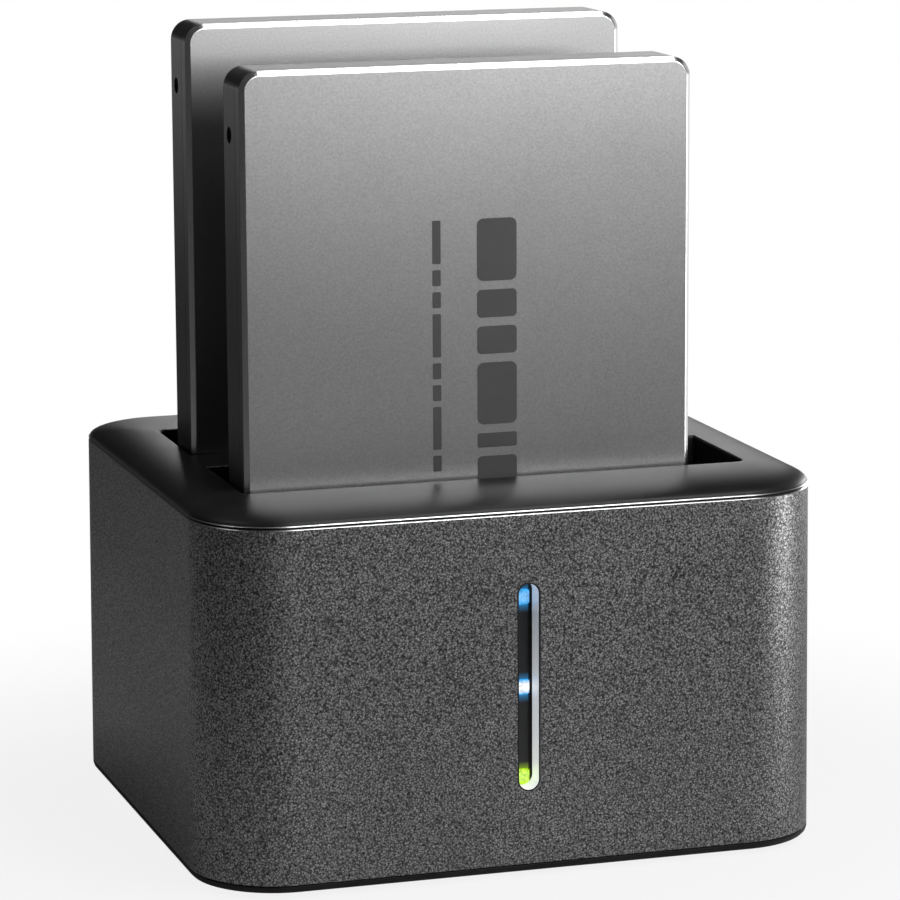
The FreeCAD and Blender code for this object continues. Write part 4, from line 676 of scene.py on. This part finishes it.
class DOCK_OT_bezel(DockOperator, bpy.types.Operator):
    """Builds the satin bezel: its rounded crown, both slots with eased edges, and the skirt below"""
    bl_idname = "dock.bezel"
    bl_label = "Satin bezel"

    def make(self, sizes, colours):
        low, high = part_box("top_bezel")
        foot = high.z - sizes.crown_rise
        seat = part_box("sleeve")[1].z
        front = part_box("front_bay")[0].y + sizes.bay_wall
        bm = bmesh.new()
        under = rounded_face(bm, high.x - low.x, high.y - low.y, sizes.corner_radius, sizes.corner_steps,
                             level=foot)
        self.raise_crown(bm, under, sizes, high.x - low.x, high.y - low.y, front)
        rim = self.drop_skirt(bm, under, sizes, seat - foot)
        bm.normal_update()
        rim += self.open_slots(bm, sizes, high.z, seat, front)
        bmesh.ops.triangle_fill(bm, use_beauty=True, use_dissolve=False, edges=rim)
        close_up(bm)
        ease(bm, lambda edge: is_level(edge, high.z) and beside_wall(edge), sizes.slot_edge, 3)
        bm.normal_update()
        for face in bm.faces:
            low_enough = face.calc_center_bounds().z < foot + sizes.crown_lip
            face.material_index = int(low_enough and is_bevelled(face))
        piece = finish_piece("satin_bezel", bm, ["satin_black", "cut_edge"], colours)
        stands_for(piece, "dock", "top_bezel")

    def raise_crown(self, bm, under, sizes, width, depth, front):
        """From the lip at its foot, the crown curves in to the outline of both slots together."""
        opening = 2 * sizes.slot_depth + sizes.bridge_width
        crown, level = push_closed(bm, [under], 0), sizes.crown_lip / sizes.crown_rise
        outline = (width, depth, sizes.corner_radius, 0.0)
        width, depth, radius = (width - 2 * sizes.crown_lip, depth - 2 * sizes.crown_lip,
                                sizes.corner_radius - sizes.crown_lip)
        reshape(bm, crown, outline, (width, depth, radius, 0.0))
        bmesh.ops.translate(bm, verts=crown.verts, vec=(0, 0, sizes.crown_lip))
        outline = (width, depth, radius, 0.0)
        for step in range(1, sizes.crown_steps + 1):
            angle = math.radians(90) * step / sizes.crown_steps
            inward = 1 - math.cos(angle)
            smaller = (width - (width - sizes.slot_width) * inward, depth - (depth - opening) * inward,
                       radius - (radius - sizes.crown_corner) * inward, (front + opening / 2) * inward)
            crown = push_face(bm, crown, 0)
            reshape(bm, crown, outline, smaller)
            bmesh.ops.translate(bm, verts=crown.verts,
                                vec=(0, 0, sizes.crown_rise * (math.sin(angle) - level)))
            outline, level = smaller, math.sin(angle)

    def drop_skirt(self, bm, under, sizes, seam):
        """The groove under the crown and the skirt inside the sleeve. Gives its inner edges back."""
        raise_face(bm, under, sizes.seam_depth, 0)
        under = push_face(bm, under, seam)
        raise_face(bm, under, sizes.skirt_inset - sizes.seam_depth, 0)
        under = push_face(bm, under, -sizes.skirt_height)
        raise_face(bm, under, sizes.skirt_wall, 0)
        return open_face(bm, push_face(bm, under, sizes.skirt_height))

    def open_slots(self, bm, sizes, top, seat, front):
        """Cuts the top along the land, and drops both slots with a collar round each. Gives the rims back."""
        def at_top(face):
            return abs(face.calc_center_bounds().z - top) < SAME_LEVEL

        rim = []
        land = (front + sizes.slot_depth, front + sizes.slot_depth + sizes.bridge_width)
        for line in land:
            tops = [face for face in bm.faces if abs(face.normal.z) > 0.99 and at_top(face)]
            whole = dict.fromkeys([*tops, *(edge for face in tops for edge in face.edges),
                                   *(vert for face in tops for vert in face.verts)])
            bmesh.ops.bisect_plane(bm, geom=list(whole), plane_co=(0, line, 0), plane_no=(0, 1, 0),
                                   dist=SAME_POINT)
        wider = (1 + 2 * sizes.collar_wall / sizes.slot_width,
                 1 + 2 * sizes.collar_wall / sizes.slot_depth, 1)
        for middle in (front + sizes.slot_depth / 2, land[1] + sizes.slot_depth / 2):
            mouth = next(face for face in bm.faces
                         if at_top(face) and abs(face.calc_center_bounds().y - middle) < MM)
            edges = open_face(bm, push_face(bm, mouth, seat - sizes.collar_drop - top))
            edges = spread_edges(bm, edges, (0, middle, 0), wider, 0)
            rim += spread_edges(bm, edges, (0, middle, 0), (1, 1, 1), sizes.collar_drop)
        return rim


class DOCK_OT_base(DockOperator, bpy.types.Operator):
    """Rounds the base with its thin rim, the rubber feet and the case screws"""
    bl_idname = "dock.base"
    bl_label = "Base and feet"

    def make(self, sizes, colours):
        softened("satin_base", "base_plate", "dock", "satin_black", 0.08, colours)
        softened("rounded_feet", "rubber_feet", "dock", "foot_rubber", 0.35, colours)
        softened("bright_case_screws", "case_screws", "dock", "zinc_steel", 0.12, colours)


class DOCK_OT_light_bar(DockOperator, bpy.types.Operator):
    """Builds the bright trim, the black window behind it and the three lamps' lenses"""
    bl_idname = "dock.light_bar"
    bl_label = "Light bar"
    rim_rounding, rim_depth = 0.35, 0.4  # shares of the trim's wall
    flange_corner = 0.3 * MM

    def make(self, sizes, colours):
        self.build_trim(sizes, colours)
        window = softened("black_window", "light_bar_window", "dock", "gloss_black", 0.05, colours)
        window.material_slots[0].material = finish_of("smoked_window", colours)
        for place, slot in (("upper", "blue_lens"), ("middle", "blue_lens"), ("lower", "green_lens")):
            self.build_lens(place, slot, sizes, colours)

    def build_trim(self, sizes, colours):
        """A round-ended tube with an eased rim, and the flange behind the sleeve's wall."""
        low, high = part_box("light_bar_trim")
        depth = high.y - low.y
        outline = (sizes.bar_width - 2 * sizes.trim_gap, sizes.bar_height - 2 * sizes.trim_gap,
                   (sizes.bar_width - 2 * sizes.trim_gap) * TRIM_END, 2 * sizes.corner_steps)
        bm = bmesh.new()
        back = rounded_face(bm, *outline, level=-depth)
        mouth = push_closed(bm, [back], depth)
        inner = []
        for face in (back, mouth):
            raise_face(bm, face, sizes.trim_wall, 0)
            inner += open_face(bm, face)
        bmesh.ops.bridge_loops(bm, edges=inner)
        close_up(bm)
        ease(bm, lambda edge: is_level(edge, 0) and beside_wall(edge),
             sizes.trim_wall * self.rim_rounding)
        for face in bm.faces:
            face.material_index = int(face.calc_center_bounds().z > -sizes.trim_wall * self.rim_depth)
        plate = rounded_face(bm, high.x - low.x, high.z - low.z, self.flange_corner, 3,
                             level=-sizes.sleeve_wall)
        hole = rounded_face(bm, *outline, level=-sizes.sleeve_wall)
        edges = [*plate.edges, *hole.edges]
        bmesh.ops.delete(bm, geom=[plate, hole], context="FACES_ONLY")
        filled = bmesh.ops.triangle_fill(bm, use_beauty=True, use_dissolve=False, edges=edges)["geom"]
        flange = [item for item in filled if isinstance(item, bmesh.types.BMFace)]
        push_closed(bm, flange, -sizes.flange_thick)
        stand_up(bm, 0, low.y, sizes.bar_level)
        piece = finish_piece("bright_trim", bm, ["bright_chrome", "satin_black"], colours)
        stands_for(piece, "dock", "light_bar_trim")

    def build_lens(self, place, slot, sizes, colours):
        """A small block of clear plastic with a rounded front."""
        node = place + "_light_lens"
        low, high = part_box(node)
        depth = high.y - low.y
        bm = bmesh.new()
        push_closed(bm, [rounded_face(bm, high.x - low.x, high.z - low.z, sizes.lens_corner, 6)], depth)
        ease(bm, lambda edge: is_level(edge, depth), sizes.lens_edge, 3)
        stand_up(bm, (low.x + high.x) / 2, high.y, (low.z + high.z) / 2)
        piece = finish_piece(place + "_glowing_lens", bm, [slot], colours)
        stands_for(piece, "dock", node)


class DOCK_OT_drives(DockOperator, bpy.types.Operator):
    """Builds each drive's blasted cover with its polished bevel and printed bars, and rounds its case"""
    bl_idname = "dock.drives"
    bl_label = "Drives"
    line_rounding, seam_rounding = 0.28, 0.2  # shares of the drive's bevel
    ink, first_bar, bar_corner = 0.02 * MM, 23 * MM, 0.16
    # Each row of printed bars in millimetres: right of the middle, width, gap, heights from the top
    rows = (
        (4.2, 6.2, 1.3, (9.4, 4.2, 4.2, 9.4, 2.2, 4.2)),
        (-5.2, 1.3, 0.9, (6.5, 2.4, 2.4, 6.5, 2.4, 2.4, 6.5, 2.4)),
    )

    def make(self, sizes, colours):
        for side in ("front", "rear"):
            body = side + "_drive"
            low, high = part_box(body + "_cover")
            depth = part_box(body + "_case")[0].y - low.y
            bm = self.cover(sizes, high.x - low.x, high.z - low.z, depth)
            stand_up(bm, (low.x + high.x) / 2, low.y + sizes.drive_bevel, (low.z + high.z) / 2)
            slots = ["drive_silver", "polished_bevel", "drive_black"]
            piece = finish_piece(side + "_blasted_cover", bm, slots, colours)
            stands_for(piece, body, body + "_cover")
            softened(side + "_black_case", body + "_case", body, "drive_black", 0.1, colours,
                     countersink=sizes.hole_countersink)
            self.print_bars(side, body, low, high, colours)

    def cover(self, sizes, width, height, depth):
        """A sheet cover with a flat face, a polished bevel round it and black sides, lying on its back."""
        rear = sizes.drive_bevel - depth
        bm = bmesh.new()
        face = rounded_face(bm, width, height, sizes.drive_corner, sizes.corner_steps)
        bright = raise_face(bm, face, sizes.drive_bevel, sizes.drive_bevel)
        bm.normal_update()
        for item in bright:
            item.material_index = 1
        for item in ease(bm, lambda edge: edge in face.edges, sizes.drive_bevel * self.line_rounding, 4):
            item.material_index = 1
        foot = rounded_face(bm, width, height, sizes.drive_corner, sizes.corner_steps, level=rear)
        raise_face(bm, foot, sizes.drive_skin, 0)
        push_face(bm, foot, depth - sizes.drive_skin)
        open_edges = [edge for edge in bm.edges if edge.is_boundary]
        for item in bmesh.ops.bridge_loops(bm, edges=open_edges)["faces"]:
            item.material_index = 2
        close_up(bm)
        ease(bm, lambda edge: is_level(edge, rear) and beside_wall(edge, 2),
             sizes.drive_bevel * self.seam_rounding)
        return bm

    def print_bars(self, side, body, low, high, colours):
        """Plain printed bars on the cover's face: a wide row and a narrow row that stand upright."""
        bm = bmesh.new()
        middle = (low.x + high.x) / 2
        for across, wide, gap, heights in self.rows:
            level = high.z - self.first_bar
            for tall in heights:
                face = rounded_face(bm, wide * MM, tall * MM, min(wide, tall) * MM * self.bar_corner, 4,
                                    (middle + across * MM, level - tall * MM / 2))
                push_closed(bm, [face], self.ink)
                level -= (tall + gap) * MM
        stand_up(bm, 0, low.y - self.ink / 2, 0)
        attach(finish_piece(side + "_printed_bars", bm, ["printed_grey"], colours), body)


class DOCK_OT_rear(DockOperator, bpy.types.Operator):
    """Rounds the rear panel with its jack, data port, copy button and power switch"""
    bl_idname = "dock.rear"
    bl_label = "Rear panel and ports"

    def make(self, sizes, colours):
        for name, node, body, slot, width in (
                ("matt_rear_panel", "rear_panel", "dock", "inner_black", 0.12),
                ("moulded_power_jack", "power_jack", "dock", "inner_black", 0.1),
                ("bright_jack_pin", "power_jack_pin", "dock", "zinc_steel", 0.1),
                ("plated_port_shell", "data_port_shell", "dock", "port_steel", 0.06),
                ("blue_port_tongue", "data_port_tongue", "dock", "port_blue", 0.06),
                ("glossy_switch_case", "power_switch_case", "dock", "gloss_black", 0.12),
                ("satin_rocker", "power_rocker", "power_rocker", "satin_black", 0.15),
                ("satin_copy_button", "copy_button", "copy_button", "satin_black", 0.2)):
            softened(name, node, body, slot, width, colours)


class DOCK_OT_inner_parts(DockOperator, bpy.types.Operator):
    """Gives every CAD piece that still shows the finish that its material slot asks for"""
    bl_idname = "dock.inner_parts"
    bl_label = "Inner parts"

    def make(self, sizes, colours):
        for row in frame["record"]["subparts"]:
            for place in NODES[row["node"]].material_slots:
                place.material = finish_of(row["material_slot"], colours)


class DOCK_OT_stage(DockOperator, bpy.types.Operator):
    """Lays the pale floor, hangs the soft lamps and stands the camera where the photograph has it"""
    bl_idname = "dock.stage"
    bl_label = "Studio"

    # Each lamp's name, place, width and height, its spread in degrees and its power in watts
    lamps = (
        ("top_box", (0.34, -0.21, 1.08), 0.25, 0.25, 34, 0.085),
        ("corner_box", (-0.50, 0.21, 1.02), 0.30, 0.30, 34, 0.035),
        ("back_box", (0.36, 1.01, 0.31), 0.40, 0.30, 60, 0.10),
        ("right_box", (1.00, 0.15, 0.35), 0.60, 0.60, 60, 0.07),
        ("right_card", (0.26, -0.12, 0.04), 0.12, 0.12, 90, 0.060),
        ("front_card", (0.11, -0.30, 0.19), 0.22, 0.14, 90, 0.16),
        ("drive_card", (0.05, -0.12, 0.245), 0.10, 0.10, 180, 0.10),
        ("rear_card", (0.48, 0.34, 0.17), 0.18, 0.12, 90, 0.20),
    )
    aim = (0.0, 0.0, 0.07)
    # Seen straight, the floor turns white past the shadow's edge. Mirrored, it is white on one side.
    floor_grey, white_near_dock = (0.55, 0.55, 0.55), 0.86
    shadow_edge = ((0.06, 0.0), (0.15, 1.0))
    towards_bright_side, dark_mirror = (0.9, 0.45, 0.0), 0.03
    bright_side = ((0.15, 0.0), (0.35, 1.0))
    room_light, room_mirror = 0.03, 0.02
    camera_place = (-0.19157, -0.61556, 0.18038)
    camera_turn = (17.46, 10.86, -0.28)
    focal_length, film_width = 167.21, 36.0

    def make(self, sizes, colours):
        self.lay_floor()
        self.light_world()
        for name, spot, wide, high, spread, power in self.lamps:
            lamp = bpy.data.lights.new(name, "AREA")
            lamp.shape = "RECTANGLE"
            lamp.size, lamp.size_y, lamp.spread, lamp.energy = wide, high, math.radians(spread), power
            thing = bpy.data.objects.new(name, lamp)
            thing.location = spot
            thing.rotation_mode = "QUATERNION"
            thing.rotation_quaternion = (Vector(self.aim) - Vector(spot)).to_track_quat("-Z", "Y")
            thing.visible_camera = False
            bpy.context.scene.collection.objects.link(thing)
        self.stand_camera()
        bpy.context.scene.view_settings.view_transform = "Standard"

    def lay_floor(self):
        """A pale floor that the camera sees as white, apart from a soft shadow near the dock."""
        bm = bmesh.new()
        bmesh.ops.create_grid(bm, x_segments=1, y_segments=1, size=5.0)
        mesh = bpy.data.meshes.new("pale_floor")
        bm.to_mesh(mesh)
        bm.free()
        floor = bpy.data.objects.new("pale_floor", mesh)
        bpy.context.scene.collection.objects.link(floor)
        finish = Finish("pale_floor")
        card = finish.node("BsdfDiffuse", {}, {"Color": self.floor_grey})
        white = finish.node("Emission", {}, {"Color": WHITE, "Strength": 1.0})
        away = finish.node("VectorMath", {"operation": "LENGTH"}, {0: finish.place()}, "Value")
        near, dark = self.white_near_dock, self.dark_mirror
        backdrop = near + (1 - near) * finish.ramp(away, self.shadow_edge, "EASE")
        rightwards = finish.node("VectorMath", {"operation": "DOT_PRODUCT"},
                                 {0: finish.place(), 1: self.towards_bright_side}, "Value")
        mirrored = dark + (1 - dark) * finish.ramp(rightwards, self.bright_side, "EASE")
        share = self.white_share(finish, backdrop, mirrored)
        both = finish.node("MixShader", {}, {0: share, 1: card, 2: white})
        finish.node("OutputMaterial", {}, {"Surface": both})
        mesh.materials.append(finish.material)

    def white_share(self, finish, seen, mirrored):
        """How much of plain white a ray meets: straight from the camera, or mirrored or through glass."""
        camera, glossy, through = (finish.node("LightPath", {}, {}, name) for name in
                                   ("Is Camera Ray", "Is Glossy Ray", "Is Transmission Ray"))
        return seen * camera + mirrored * (glossy + through)

    def light_world(self):
        """An almost dark room, which the camera sees as white."""
        air = Finish("studio", "worlds")
        bpy.context.scene.world = air.material
        strength = self.room_light + self.white_share(air, 1 - self.room_light, self.room_mirror)
        sky = air.node("Background", {}, {"Color": WHITE, "Strength": strength})
        air.node("OutputWorld", {}, {"Surface": sky})

    def stand_camera(self):
        """The camera of the photograph: fitted to edges of the drives, the slots and the sleeve."""
        yaw, pitch, roll = (math.radians(angle) for angle in self.camera_turn)
        ahead = Vector((math.sin(yaw) * math.cos(pitch), math.cos(yaw) * math.cos(pitch), -math.sin(pitch)))
        level = Vector((math.cos(yaw), -math.sin(yaw), 0))
        upward = level.cross(ahead)
        right = level * math.cos(roll) + upward * math.sin(roll)
        up = upward * math.cos(roll) - level * math.sin(roll)
        view = bpy.data.cameras.new("photo_camera")
        view.lens, view.sensor_width = self.focal_length, self.film_width
        view.clip_start, view.clip_end = 0.01, 50.0
        camera = bpy.data.objects.new("photo_camera", view)
        turned = Matrix((right, up, -ahead)).transposed().to_4x4()
        camera.matrix_world = Matrix.Translation(self.camera_place) @ turned
        bpy.context.scene.collection.objects.link(camera)
        bpy.context.scene.camera = camera


class DOCK_PT_looks(bpy.types.Panel):
    """Lists the steps that dress the dock"""
    bl_idname = "DOCK_PT_looks"
    bl_label = "Drive Dock Looks"
    bl_space_type = "VIEW_3D"
    bl_region_type = "UI"
    bl_category = "Drive Dock"

    def draw(self, context):
        for step in STEPS:
            self.layout.operator(step.bl_idname)
        for group in (context.scene.dock_sizes, context.scene.dock_colours):
            column = self.layout.column()
            for key in group.bl_rna.properties.keys():
                if key not in {"rna_type", "name"}:
                    column.prop(group, key)


STEPS = (DOCK_OT_inner_parts, DOCK_OT_sleeve, DOCK_OT_bezel, DOCK_OT_base, DOCK_OT_light_bar,
         DOCK_OT_drives, DOCK_OT_rear, DOCK_OT_stage)
CLASSES = (DOCK_PG_sizes, DOCK_PG_colours, *STEPS, DOCK_PT_looks)


def register():
    for kind in CLASSES:
        bpy.utils.register_class(kind)
    bpy.types.Scene.dock_sizes = PointerProperty(type=DOCK_PG_sizes)
    bpy.types.Scene.dock_colours = PointerProperty(type=DOCK_PG_colours)


def unregister():
    del bpy.types.Scene.dock_sizes
    del bpy.types.Scene.dock_colours
    for kind in reversed(CLASSES):
        bpy.utils.unregister_class(kind)


def main():
    register()
    for step in STEPS:
        section, name = step.bl_idname.split(".")
        getattr(getattr(bpy.ops, section), name)()


if __name__ == "__main__":
    main()
